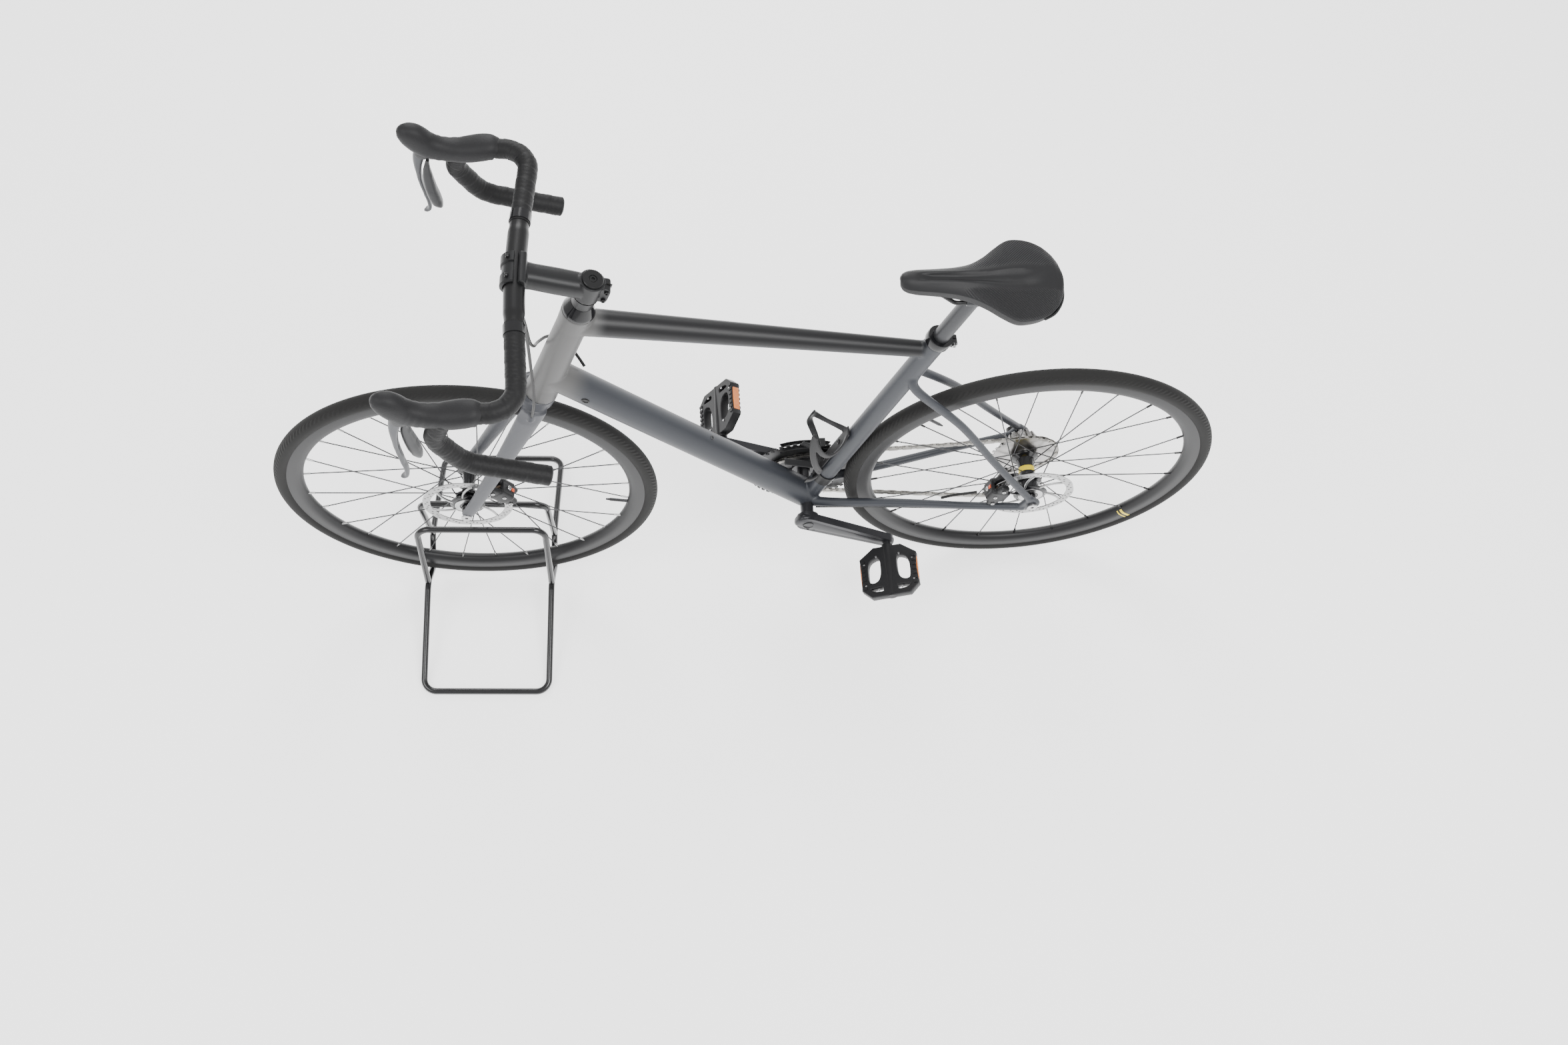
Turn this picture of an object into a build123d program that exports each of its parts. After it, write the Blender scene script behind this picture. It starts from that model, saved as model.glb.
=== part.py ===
"""Road bicycle with hydraulic disc brakes, its front wheel held in a tubular floor stand.

Three frames are used, all in millimetres with +Y to the rider's left:
  bike     origin on the rear axle, +X forward, +Z up, as the bicycle stands on level ground
  steering origin where the steering axis passes the front axle's height, +Z up the axis, +X forward
  stand    origin on the floor under the front wheel, +X along the wheel, +Z up
BIKE, STEERING and STAND place them in the finished part, whose origin is on the floor.
"""
from build123d import *
import math
import os

# --- Driving dimensions -------------------------------------------------------------------------
WHEEL_RADIUS = 339.0
TYRE_RADIUS = 14.2
RIM_RADIUS = 316.3
WHEELBASE = 1020.0
HEAD_ANGLE = 72.7
FORK_RAKE = 45.0
BB_X, BB_Z = 405.5, -70.0
SEAT_ANGLE = 72.0
SEAT_AXIS_SETBACK = 5.5          # the seat tube's axis passes this far behind the crank axle
HEAD_BOTTOM, HEAD_TOP = 368.0, 613.0     # heights up the steering axis
DOWN_JOINT, TOP_JOINT = 428.0, 581.0     # where the two main tubes meet the steering axis
FRONT_OLD, REAR_OLD = 100.0, 142.0       # widths between the dropouts
AXLE_RADIUS = 6.0
RUNNING_GAP = 0.06               # radial play of a shaft in its bore
BAR_FORWARD, BAR_HEIGHT = 112.0, 675.0   # the bar's centre, in the steering frame
BAR_RADIUS = 12.0
TAPE_RADIUS = 15.3
LEVER_WIDTH = 234.0              # half the distance between the brake hoods
CRANK_LENGTH = 172.5
CRANK_ANGLE = 26.6               # how far the right crank is turned above forward
ROTOR_RADIUS, ROTOR_HALF = 80.0, 0.9
FRONT_ROTOR_Y, REAR_ROTOR_Y = 35.3, 55.0
CHAIN_PITCH = 12.7
BIG_RING, SMALL_RING = 50, 34
BIG_RING_Y, SMALL_RING_Y = -47.5, -41.0
BIG_RING_THICKNESS = 3.0
COGS = (30, 27, 24, 21, 19, 17, 15, 14, 13, 12, 11)
FIRST_COG_Y, COG_STEP = -28.0, 3.74
PULLEY_TEETH = 11
GUIDE_PULLEY = (8.0, -94.0)
TENSION_PULLEY = (30.0, -146.0)
FRONT_CALIPER_AT = (-3.0, 0.0, 70.0)
FRONT_CALIPER_TURN = -34.4
REAR_CALIPER_AT = (65.0, 0.0, 20.0)
REAR_CALIPER_TURN = 72.9         # the caliper's back points straight away from the axle
CALIPER_LENGTH = 62.0
FRONT_CALIPER_HEIGHT, REAR_CALIPER_HEIGHT = 36.0, 44.0
STAND_TUBE = 6.0
STAND_HALF_X, STAND_HALF_Y = 119.0, 257.0

# --- Placement of the three frames --------------------------------------------------------------
LEAN = -1.763                    # the bicycle leans to its left
PITCH = 1.081                    # the stand lifts the front wheel
STEER = -2.92                    # the bars are turned a little to the right
STAND_TURN = -3.5
PLAN_CENTRE = (-0.23, 12.0)      # the finished part's middle, which becomes its origin
REAR_AXLE = (-509.9, 10.43, WHEEL_RADIUS - 0.16)
STAND_AT = (502.0, 5.7, 0.0)
ORIGIN = Pos(-PLAN_CENTRE[0], -PLAN_CENTRE[1], 0)
AXIS_FOOT = (WHEELBASE - 43.0, 0.0, -13.4)       # the steering frame's origin, in the bike frame
BIKE = ORIGIN * Pos(*REAR_AXLE) * Rot(LEAN, 0, 0) * Rot(0, -PITCH, 0)
STEERING = BIKE * Pos(*AXIS_FOOT) * Rot(0, HEAD_ANGLE - 90, 0) * Rot(0, 0, STEER)
STAND = ORIGIN * Pos(*STAND_AT) * Rot(0, 0, STAND_TURN)
FRONT_WHEEL = STEERING * Pos(FORK_RAKE, 0, 0)
CRANK = BIKE * Pos(BB_X, 0, BB_Z) * Rot(0, -CRANK_ANGLE, 0)
SEAT = BIKE * Pos(BB_X - SEAT_AXIS_SETBACK, 0, BB_Z) * Rot(0, SEAT_ANGLE - 90, 0)


def save(name, part, place):
    """Place one finished sub-part, label it and write its STEP file."""
    placed = place * part
    placed.label = name
    export_step(placed, f"parts/{name}.step")


def on_steering_axis(height):
    """A point of the steering axis, in the bike frame."""
    angle = math.radians(HEAD_ANGLE)
    x = AXIS_FOOT[0] - height * math.cos(angle)
    return (x, 0.0, AXIS_FOOT[2] + height * math.sin(angle))


def on_seat_axis(height):
    """A point of the seat tube's axis, in the bike frame."""
    angle = math.radians(SEAT_ANGLE)
    x = BB_X - SEAT_AXIS_SETBACK - height * math.cos(angle)
    return (x, 0.0, BB_Z + height * math.sin(angle))


def pitch_radius(teeth):
    return CHAIN_PITCH / (2 * math.sin(math.pi / teeth))


def mirrored(point):
    return (point[0], -point[1], point[2])


def rod(start, end, start_radius, end_radius=None):
    """A round bar between two points, tapered when the radii differ."""
    axis = Vector(*end) - Vector(*start)
    with BuildPart() as bar:
        with BuildSketch(Plane(origin=start, z_dir=axis)):
            Circle(start_radius)
        if end_radius is None:
            extrude(amount=axis.length)
        else:
            with BuildSketch(Plane(origin=end, z_dir=axis)):
                Circle(end_radius)
            loft()
    return bar.part


def turned(*profile):
    """A body turned about the Y axis from (radius, y) corners."""
    with BuildPart() as body:
        with BuildSketch(Plane.XY):
            with BuildLine():
                Polyline(*profile, close=True)
            make_face()
        revolve(axis=Axis.Y)
    return body.part


def bent_tube(points, radii, outer, inner=0.0, closed=False):
    """A tube along straight runs joined by tangent arcs, one radius for each bend."""
    with BuildPart() as tube:
        with BuildLine() as route:
            FilletPolyline(*points, radius=radii, close=closed)
        path = route.wires()[0]
        with BuildSketch(Plane(origin=path @ 0, z_dir=path % 0)):
            Circle(outer)
            if inner:
                Circle(inner, mode=Mode.SUBTRACT)
        sweep(path=path)
    return tube.part


def spun_plate(teeth, y, thickness, hole_radius, tip=2.2):
    """A toothed chainwheel about the Y axis, its teeth between the chain's rollers."""
    roller = 3.97
    with BuildPart() as wheel:
        with BuildSketch(Plane(origin=(0, y + thickness / 2, 0), z_dir=(0, 1, 0))):
            Circle(pitch_radius(teeth) + tip)
            with PolarLocations(pitch_radius(teeth), teeth):
                Circle(roller, mode=Mode.SUBTRACT)
            Circle(hole_radius, mode=Mode.SUBTRACT)
        extrude(amount=-thickness)
    return wheel.part


# --- Floor stand --------------------------------------------------------------------------------

def stand_base():
    """One closed tube: two floor bars and two side bars that dip under the tyre."""
    shoulder_y, shoulder_z, dip_z = 54.0, 66.0, 26.0
    side = [
        (STAND_HALF_Y, STAND_TUBE),
        (shoulder_y, shoulder_z),
        (0.0, dip_z),
        (-shoulder_y, shoulder_z),
        (-STAND_HALF_Y, STAND_TUBE),
    ]
    corner, shoulder, dip = 24.0, 30.0, 15.0
    right = [(STAND_HALF_X, y, z) for y, z in side]
    left = [(-STAND_HALF_X, y, z) for y, z in reversed(side)]
    radii = [corner, shoulder, dip, shoulder, corner]
    return bent_tube(right + left, radii + radii, STAND_TUBE, closed=True)


def stand_hoops():
    """Two upright hoops that hold the tyre between them."""
    foot_y, foot_z = 53.0, 69.0
    top_y, top_z, bend = 27.0, 235.0, 24.0
    with BuildPart() as hoops:
        for side in (1, -1):
            points = [
                (STAND_HALF_X, side * foot_y, foot_z),
                (STAND_HALF_X, side * top_y, top_z),
                (-STAND_HALF_X, side * top_y, top_z),
                (-STAND_HALF_X, side * foot_y, foot_z),
            ]
            add(bent_tube(points, [bend, bend], STAND_TUBE))
    return hoops.part


# --- Frame --------------------------------------------------------------------------------------

HEAD_PROFILE = (
    # height up the steering axis, radius
    (HEAD_BOTTOM + 0.4, 28.5),
    (400.0, 25.5),
    (570.0, 24.8),
    (HEAD_TOP, 26.2),
)
HEAD_BORE = 19.0


def head_outline():
    """The head tube's outer shape, which also trims the tubes that meet it."""
    with BuildPart() as tube:
        for (low, low_radius), (high, high_radius) in zip(HEAD_PROFILE, HEAD_PROFILE[1:]):
            add(rod((0, 0, low), (0, 0, high), low_radius, high_radius))
    return Pos(*AXIS_FOOT) * Rot(0, HEAD_ANGLE - 90, 0) * tube.part


def head_tube():
    with BuildPart() as tube:
        add(head_outline())
        add(rod(on_steering_axis(HEAD_BOTTOM - 9), on_steering_axis(HEAD_TOP + 9), HEAD_BORE),
            mode=Mode.SUBTRACT)
    return tube.part


WALL = 2.0                       # of the two main tubes
SEAT_TUBE_RADIUS = 17.8
SEAT_TOP = 560.0
SEAT_ENVELOPE = rod(on_seat_axis(-40), on_seat_axis(SEAT_TOP + 60), SEAT_TUBE_RADIUS)
BB_ENVELOPE = rod((BB_X, -43, BB_Z), (BB_X, 43, BB_Z), 22.0)


def top_tube():
    rear_radius, front_radius = 13.8, 22.0
    seat_end, head_end = on_seat_axis(521), on_steering_axis(TOP_JOINT)
    with BuildPart() as tube:
        add(rod(seat_end, head_end, rear_radius, front_radius))
        add(rod(seat_end, head_end, rear_radius - WALL, front_radius - WALL), mode=Mode.SUBTRACT)
        add(head_outline(), mode=Mode.SUBTRACT)
        add(rod(on_steering_axis(HEAD_BOTTOM), on_steering_axis(HEAD_TOP), 24.0),
            mode=Mode.SUBTRACT)
        add(SEAT_ENVELOPE, mode=Mode.SUBTRACT)
    return tube.part


def down_tube():
    """The widest tube, with a port in its left side where the rear brake hose goes in."""
    low_radius, high_radius = 27.0, 26.0
    foot, head_end = (BB_X, 0, BB_Z), on_steering_axis(DOWN_JOINT)
    port_x, port_z, port_radius = 796.0, 342.0, 4.0
    with BuildPart() as tube:
        add(rod(foot, head_end, low_radius, high_radius))
        add(rod(foot, head_end, low_radius - WALL, high_radius - WALL), mode=Mode.SUBTRACT)
        add(head_outline(), mode=Mode.SUBTRACT)
        add(SEAT_ENVELOPE, mode=Mode.SUBTRACT)
        add(BB_ENVELOPE, mode=Mode.SUBTRACT)
        add(rod((port_x, 0, port_z), (port_x, 60, port_z), port_radius), mode=Mode.SUBTRACT)
    return tube.part


def seat_tube():
    post_bore = 13.65
    with BuildPart() as tube:
        add(rod(on_seat_axis(0), on_seat_axis(SEAT_TOP), SEAT_TUBE_RADIUS))
        add(rod(on_seat_axis(20), on_seat_axis(SEAT_TOP), post_bore), mode=Mode.SUBTRACT)
        add(BB_ENVELOPE, mode=Mode.SUBTRACT)
    return tube.part


def bottom_bracket_shell():
    """The shell with its two bearing cups, which stand a little proud of it."""
    spindle = 12.0 + RUNNING_GAP
    body = turned((spindle, -48), (21.0, -48), (21.0, -43), (22.0, -43), (22.0, 43),
                  (21.0, 43), (21.0, 48), (spindle, 48))
    return Pos(BB_X, 0, BB_Z) * body


def dropout(side):
    """Plate that joins one chainstay, one seatstay and the axle."""
    thickness = 9.0
    inner = side * REAR_OLD / 2
    with BuildPart() as plate:
        with BuildSketch(Plane(origin=(0, inner, 0), x_dir=(1, 0, 0), z_dir=(0, -1, 0))):
            Circle(15.0)
            with Locations((18, -12)):
                Circle(8.0)
            with Locations((6, 18)):
                Circle(6.5)
            make_hull()
        extrude(amount=-side * thickness)
    return plate.part


def chainstays():
    """Both stays, with the dropout each one ends in."""
    with BuildPart() as stays:
        for side in (1, -1):
            root = (BB_X - 14, side * 22, BB_Z + 4)
            waist = (BB_X - 75, side * 29, BB_Z + 13)
            tip = (16, side * 76.5, -13)
            add(rod(root, waist, 11.0, 9.0))
            add(rod(waist, tip, 9.0, 8.0))
            with Locations(waist):
                Sphere(9.0)
            add(dropout(side))
        add(BB_ENVELOPE, mode=Mode.SUBTRACT)
        add(SEAT_ENVELOPE, mode=Mode.SUBTRACT)
        caliper_seat = Pos(*REAR_CALIPER_AT) * Rot(0, REAR_CALIPER_TURN, 0) * Pos(0, 56, 0)
        with Locations(caliper_seat):
            Box(CALIPER_LENGTH + 2, 22, REAR_CALIPER_HEIGHT + 0.4, mode=Mode.SUBTRACT)
        add(rod((0, -100, 0), (0, 100, 0), AXLE_RADIUS + RUNNING_GAP), mode=Mode.SUBTRACT)
    return stays.part


def seatstays():
    bridge_height = 452.0
    with BuildPart() as stays:
        for side in (1, -1):
            root = on_seat_axis(bridge_height)
            root = (root[0] - 6, side * 10, root[2])
            bend = (root[0] - 38, side * 26, root[2] - 40)
            tip = (7, side * 75.5, 18)
            add(rod(root, bend, 10.0, 8.5))
            add(rod(bend, tip, 8.5, 6.5))
            with Locations(bend):
                Sphere(8.5)
        add(SEAT_ENVELOPE, mode=Mode.SUBTRACT)
        for side in (1, -1):
            add(dropout(side), mode=Mode.SUBTRACT)
    return stays.part


def seat_clamp():
    """Collar round the top of the seat tube, with a bolt lug behind."""
    low, high, radius = SEAT_TOP - 13, SEAT_TOP + 2, 21.0
    with BuildPart() as clamp:
        with BuildSketch(Plane.XY.offset(low)):
            Circle(radius)
            with Locations((-radius - 3, 0)):
                RectangleRounded(15, 15, 3)
            with Locations((-radius - 4, 0)):
                Rectangle(30, 1.6, mode=Mode.SUBTRACT)
            Circle(SEAT_TUBE_RADIUS + 0.1, mode=Mode.SUBTRACT)
        extrude(amount=high - low)
    return clamp.part


def bottle_cage():
    """A base strip on the seat tube, with a foot, a low hoop and an open high hoop."""
    low, high = 104.0, 246.0
    axis_x, inner, outer = 59.0, 37.0, 40.0
    with BuildPart() as cage:
        with BuildSketch(Plane.XY.offset(low)):
            with Locations((axis_x, 0)):
                Circle(outer)
                Circle(24.0, mode=Mode.SUBTRACT)
        extrude(amount=3)
        for hoop in (low, high - 26):
            with BuildSketch(Plane.XY.offset(hoop)):
                with Locations((axis_x, 0)):
                    Circle(outer)
                    Circle(inner, mode=Mode.SUBTRACT)
            extrude(amount=16)
        with BuildSketch(Plane.XY.offset(low)):
            with Locations((axis_x - 38.5, 0)):
                Rectangle(3.6, 24)
        extrude(amount=high - low)
        with BuildSketch(Plane.XY.offset(high - 30)):
            with Locations((axis_x + 38, 0)):
                Rectangle(20, 44)
        extrude(amount=40, mode=Mode.SUBTRACT)
    return cage.part


def front_derailleur_clamp():
    """Band on the seat tube, with the arm that carries the cage."""
    low, high = 68.0, 92.0
    with BuildPart() as clamp:
        with BuildSketch(Plane.XY.offset(low)):
            Circle(20.0)
            with Locations((-6, -26)):
                RectangleRounded(20, 16, 3)
            Circle(SEAT_TUBE_RADIUS + 0.05, mode=Mode.SUBTRACT)
        extrude(amount=high - low)
    return clamp.part


def front_derailleur_cage():
    """Two cage plates either side of the chain, joined above it."""
    inner, outer = 94.0, 107.5
    with BuildPart() as cage:
        for y in (-52.0, -35.5):
            with BuildSketch(Plane(origin=(0, y, 0), x_dir=(1, 0, 0), z_dir=(0, -1, 0))):
                with BuildLine():
                    CenterArc((0, 0), outer, 62, 52)
                    CenterArc((0, 0), inner, 62, 52)
                    for angle in (62, 114):
                        across = Vector(1, 0).rotate(Axis.Z, angle)
                        Line(across * inner, across * outer)
                make_face()
            extrude(amount=1.2)
        with BuildSketch(Plane.XZ.offset(35.5)):
            with Locations((-24, 110)):
                Rectangle(16, 6)
        extrude(amount=17.7)
    return Pos(BB_X, 0, BB_Z) * cage.part


# --- Saddle and seatpost (seat frame: +Z up the seat tube) --------------------------------------

SADDLE_TOP_Z = 632.0
RAIL_X, _, RAIL_Z = on_seat_axis(698)
RAIL_HALF_GAUGE = 22.0
RAIL_RADIUS = 3.5


def seatpost():
    """The post, with the cradle that holds the saddle's rails."""
    cradle_x, half_length = RAIL_X + 6, 18.0
    with BuildPart() as post:
        add(rod(on_seat_axis(380), on_seat_axis(690), 13.6))
        add(rod(on_seat_axis(379), on_seat_axis(670), 11.6), mode=Mode.SUBTRACT)
        add(rod((RAIL_X + 2, -17, RAIL_Z - 7), (RAIL_X + 2, 17, RAIL_Z - 7), 13.0))
        for side in (1, -1):
            start = (cradle_x - half_length, side * RAIL_HALF_GAUGE, RAIL_Z)
            end = (cradle_x + half_length, side * RAIL_HALF_GAUGE, RAIL_Z)
            add(rod(start, end, RAIL_RADIUS + 2))
        with BuildSketch(Plane.XY.offset(RAIL_Z - 4)):
            with Locations((cradle_x, 0)):
                RectangleRounded(2 * half_length - 2, 2 * RAIL_HALF_GAUGE - 2, 6)
        extrude(amount=3.5)
        for side in (1, -1):
            start = (cradle_x - 30, side * RAIL_HALF_GAUGE, RAIL_Z)
            end = (cradle_x + 30, side * RAIL_HALF_GAUGE, RAIL_Z)
            add(rod(start, end, RAIL_RADIUS + 0.05), mode=Mode.SUBTRACT)
    return post.part


def saddle_rails():
    """Two bent rods under the saddle, their ends held in its shell."""
    with BuildPart() as rails:
        for side in (1, -1):
            points = [
                (292, side * 8, SADDLE_TOP_Z - 14),
                (250, side * 18, SADDLE_TOP_Z - 19),
                (226, side * RAIL_HALF_GAUGE, RAIL_Z),
                (140, side * RAIL_HALF_GAUGE, RAIL_Z),
                (82, side * 38, SADDLE_TOP_Z - 20),
            ]
            add(bent_tube(points, [18, 16, 24], RAIL_RADIUS))
    return rails.part


SADDLE_SECTIONS = (
    # x, half width, half thickness, height of the section's middle
    (60.0, 20.0, 8.0, 608.0),
    (78.0, 52.0, 10.5, 610.0),
    (110.0, 70.0, 12.5, 610.0),
    (140.0, 71.0, 13.0, 611.0),
    (175.0, 50.0, 13.5, 614.0),
    (215.0, 27.0, 14.0, 618.0),
    (265.0, 20.5, 13.5, 621.0),
    (300.0, 17.0, 11.5, 622.0),
    (312.0, 10.0, 8.0, 622.0),
)


def saddle_cover():
    """The padded saddle as one closed solid, lofted from nose to tail."""
    with BuildPart() as cover:
        for x, half_width, half_thickness, middle in SADDLE_SECTIONS:
            with BuildSketch(Plane(origin=(x, 0, middle), x_dir=(0, 1, 0), z_dir=(1, 0, 0))):
                Ellipse(half_width, half_thickness)
        loft()
    return cover.part


# --- Brake hoses' routes (the first two in the steering frame, the last in the bike frame) ------

FRONT_HOSE = (
    (94, 62, 655), (86, 55, 640), (75, 50, 600), (60, 46, 550), (42, 45.5, 490), (24, 46, 430),
    (13, 47, 385), (9, 42.5, 345),
)
CROSS_HOSE = (
    (84, 44, 640), (66, 24, 592), (48, 0, 556), (22, -36, 520), (-24, -41, 470), (-56, -20, 430),
)
CHAINSTAY_HOSE = ((160, 44, -26), (140, 46, -12), (118, 50, 0), (100, 52, 8))
HOSE_RADIUS = 2.5

# --- Fork, stem and bars (steering frame) -------------------------------------------------------

def fork():
    """Steerer, crown, two tapered blades and the dropouts."""
    blade = (
        # height, forward, lateral, half depth, half width
        (356.0, 6.0, 29.5, 20.0, 12.5),
        (320.0, 9.5, 34.0, 19.0, 11.5),
        (220.0, 19.7, 42.5, 15.5, 10.0),
        (130.0, 28.5, 49.5, 13.0, 8.5),
        (14.0, 41.5, 56.3, 10.5, 6.2),
    )
    with BuildPart() as body:
        with BuildSketch(Plane.XY.offset(344)):
            with Locations((6, 0)):
                RectangleRounded(40, 84, 19)
        with BuildSketch(Plane.XY.offset(HEAD_BOTTOM)):
            Circle(28.2)
        loft()
        for side in (1, -1):
            for height, forward, lateral, depth, width in blade:
                with BuildSketch(Plane.XY.offset(height)):
                    with Locations((forward, side * lateral)):
                        Ellipse(depth, width)
            loft()
            inner = FRONT_OLD / 2
            add(rod((FORK_RAKE, side * inner, 0), (FORK_RAKE, side * (inner + 12.5), 0), 14.0))
        add(rod((0, 0, 350), (0, 0, 694), 14.3))
        bore = AXLE_RADIUS + RUNNING_GAP
        add(rod((FORK_RAKE, -80, 0), (FORK_RAKE, 80, 0), bore), mode=Mode.SUBTRACT)
        add(rod(FRONT_HOSE[-2], tuple(Vector(*FRONT_HOSE[-1]) - Vector(0, 2, 8)), 3.0),
            mode=Mode.SUBTRACT)
    return body.part


def headset_spacers():
    """Conical cover and tapered spacer under the stem."""
    with BuildPart() as spacers:
        with BuildSketch(Plane.XZ):
            with BuildLine():
                Polyline((14.4, 613.4), (25.4, 613.4), (24.8, 618), (17.6, 634), (17.6, 634.6),
                         (17.6, 640), (19.6, 654.8), (14.4, 654.8), close=True)
            make_face()
        revolve(axis=Axis.Z)
    return spacers.part


def stem():
    """Steerer clamp, body and the rear half of the bar clamp."""
    clamp_low, clamp_high, bar_bore = 655.0, 695.0, 15.95
    with BuildPart() as body:
        add(rod((0, 0, clamp_low), (0, 0, clamp_high), 19.8))
        with BuildSketch(Plane.XY.offset(clamp_low + 3)):
            with Locations((-21, 0)):
                RectangleRounded(16, 22, 3)
        extrude(amount=clamp_high - clamp_low - 6)
        add(rod((0, 0, BAR_HEIGHT), (BAR_FORWARD - 4, 0, BAR_HEIGHT), 19.2, 18.0))
        add(rod((BAR_FORWARD, -23, BAR_HEIGHT), (BAR_FORWARD, 23, BAR_HEIGHT), 21.5))
        split(bisect_by=Plane.YZ.offset(BAR_FORWARD - 0.6), keep=Keep.BOTTOM)
        add(rod((0, 0, 640), (0, 0, 710), 14.4), mode=Mode.SUBTRACT)
        add(rod((BAR_FORWARD, -30, BAR_HEIGHT), (BAR_FORWARD, 30, BAR_HEIGHT), bar_bore),
            mode=Mode.SUBTRACT)
        with BuildSketch(Plane.XY.offset(clamp_low - 5)):
            with Locations((-24, 0)):
                Rectangle(24, 1.5)
        extrude(amount=60, mode=Mode.SUBTRACT)
    return body.part


FACEPLATE_BOLTS = [(y, BAR_HEIGHT + z) for y in (-16, 16) for z in (-17.5, 17.5)]


def stem_faceplate():
    with BuildPart() as plate:
        add(rod((BAR_FORWARD, -23, BAR_HEIGHT), (BAR_FORWARD, 23, BAR_HEIGHT), 21.3))
        split(bisect_by=Plane.YZ.offset(BAR_FORWARD + 0.6), keep=Keep.TOP)
        add(rod((BAR_FORWARD, -30, BAR_HEIGHT), (BAR_FORWARD, 30, BAR_HEIGHT), 15.95),
            mode=Mode.SUBTRACT)
        with BuildSketch(Plane.YZ.offset(BAR_FORWARD)):
            with Locations((0, BAR_HEIGHT)):
                RectangleRounded(14, 30, 4)
        extrude(amount=40, mode=Mode.SUBTRACT)
        for y, z in FACEPLATE_BOLTS:
            add(rod((BAR_FORWARD - 9, y, z), (BAR_FORWARD + 40, y, z), 3.9), mode=Mode.SUBTRACT)
    return plate.part


def stem_bolts():
    """Four faceplate bolts, two pinch bolts and the top cap with its bolt."""
    with BuildPart() as bolts:
        for y, z in FACEPLATE_BOLTS:
            add(rod((BAR_FORWARD + 9.5, y, z), (BAR_FORWARD + 14, y, z), 3.9))
        for z in (665.0, 685.0):
            add(rod((-24, -16, z), (-24, -11.1, z), 4.0))
        cap_low, cap_high = 695.2, 698.4
        add(rod((0, 0, cap_low), (0, 0, cap_high), 16.4))
        add(rod((0, 0, cap_high - 1.6), (0, 0, cap_high + 1), 6.0), mode=Mode.SUBTRACT)
        add(rod((0, 0, cap_high - 1.6), (0, 0, cap_high), 5.2))
    return bolts.part


TAPE_START = 88.0
BAR_POINTS = (
    (BAR_FORWARD, 0, BAR_HEIGHT),
    (108.5, TAPE_START, BAR_HEIGHT),
    (97.0, 229.0, BAR_HEIGHT - 2),
    (193.0, 238.0, 643.0),
    (199.0, 243.0, 586.0),
    (142.0, 244.0, 532.0),
    (16.0, 246.0, 533.0),
)
BAR_RADII = (260.0, 40.0, 28.0, 34.0, 60.0)


def handlebar():
    """Drop bar, thicker where the stem holds it."""
    bulge = 72.0
    with BuildPart() as bar:
        for side in (1, -1):
            points = [(x, side * y, z) for x, y, z in BAR_POINTS]
            add(bent_tube(points, list(BAR_RADII), BAR_RADIUS))
        add(rod((BAR_FORWARD, -bulge, BAR_HEIGHT), (BAR_FORWARD, bulge, BAR_HEIGHT), 15.9))
    return bar.part


def bar_tape():
    """Wrapped tape from beside the stem to the bar's closed ends."""
    with BuildPart() as tape:
        for side in (1, -1):
            points = [(x, side * y, z) for x, y, z in BAR_POINTS[1:]]
            end = Vector(*points[-1])
            run = (end - Vector(*points[-2])).normalized()
            add(bent_tube(points, list(BAR_RADII[1:]), TAPE_RADIUS, BAR_RADIUS + 0.05))
            add(rod(tuple(end + run * 0.1), tuple(end + run * 4), TAPE_RADIUS))
    return tape.part


HOOD_SECTIONS = (
    # forward, height of the middle, half height, half width
    (155.0, 656.0, 19.0, 19.0),
    (180.0, 644.0, 22.0, 20.0),
    (212.0, 632.0, 19.0, 17.0),
    (238.0, 631.0, 18.5, 16.0),
    (262.0, 641.0, 20.0, 16.0),
    (280.0, 650.0, 18.0, 14.5),
    (291.0, 654.0, 9.0, 8.5),
)
LEVER_PIVOT = (256.0, 612.0)         # forward and height of each lever's pin
PADDLE_PIVOT = (241.0, 603.0)
LEVER_BARREL, PADDLE_BARREL = 7.0, 3.6
LEVER_OFFSET, PADDLE_OFFSET = 2.0, -4.0      # sideways from the hood's middle, outward positive
PIN_RADIUS = 1.6


def lever_hoods():
    """The two brake hoods, each hollow round the bar and notched for its lever's barrel."""
    notch_radius, notch_half_width = LEVER_BARREL + 2.5, 10.0
    with BuildPart() as hoods:
        for side in (1, -1):
            y = side * LEVER_WIDTH
            for x, middle, half_height, half_width in HOOD_SECTIONS:
                with BuildSketch(Plane(origin=(x, y, middle), x_dir=(0, 1, 0), z_dir=(1, 0, 0))):
                    Ellipse(half_width, half_height)
            loft()
            points = [(x, side * lateral, z) for x, lateral, z in BAR_POINTS[1:]]
            add(bent_tube(points, list(BAR_RADII[1:]), TAPE_RADIUS + 0.1), mode=Mode.SUBTRACT)
            forward, height = LEVER_PIVOT
            middle_y = side * (LEVER_WIDTH + LEVER_OFFSET)
            add(rod((forward, middle_y - notch_half_width, height),
                    (forward, middle_y + notch_half_width, height), notch_radius),
                mode=Mode.SUBTRACT)
    return hoods.part


LEVER_SECTIONS = (
    # forward, height, half depth, half width
    (256.5, 612.0, 5.5, 6.5),
    (252.0, 585.0, 5.0, 7.5),
    (241.0, 543.0, 3.5, 7.0),
    (226.0, 500.0, 3.0, 6.0),
    (222.0, 474.0, 2.5, 5.0),
)
PADDLE_SECTIONS = (
    (241.0, 603.0, 3.2, 4.0),
    (237.0, 578.0, 3.0, 7.0),
    (226.0, 545.0, 2.0, 11.0),
    (220.0, 530.0, 1.5, 8.0),
)


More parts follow.
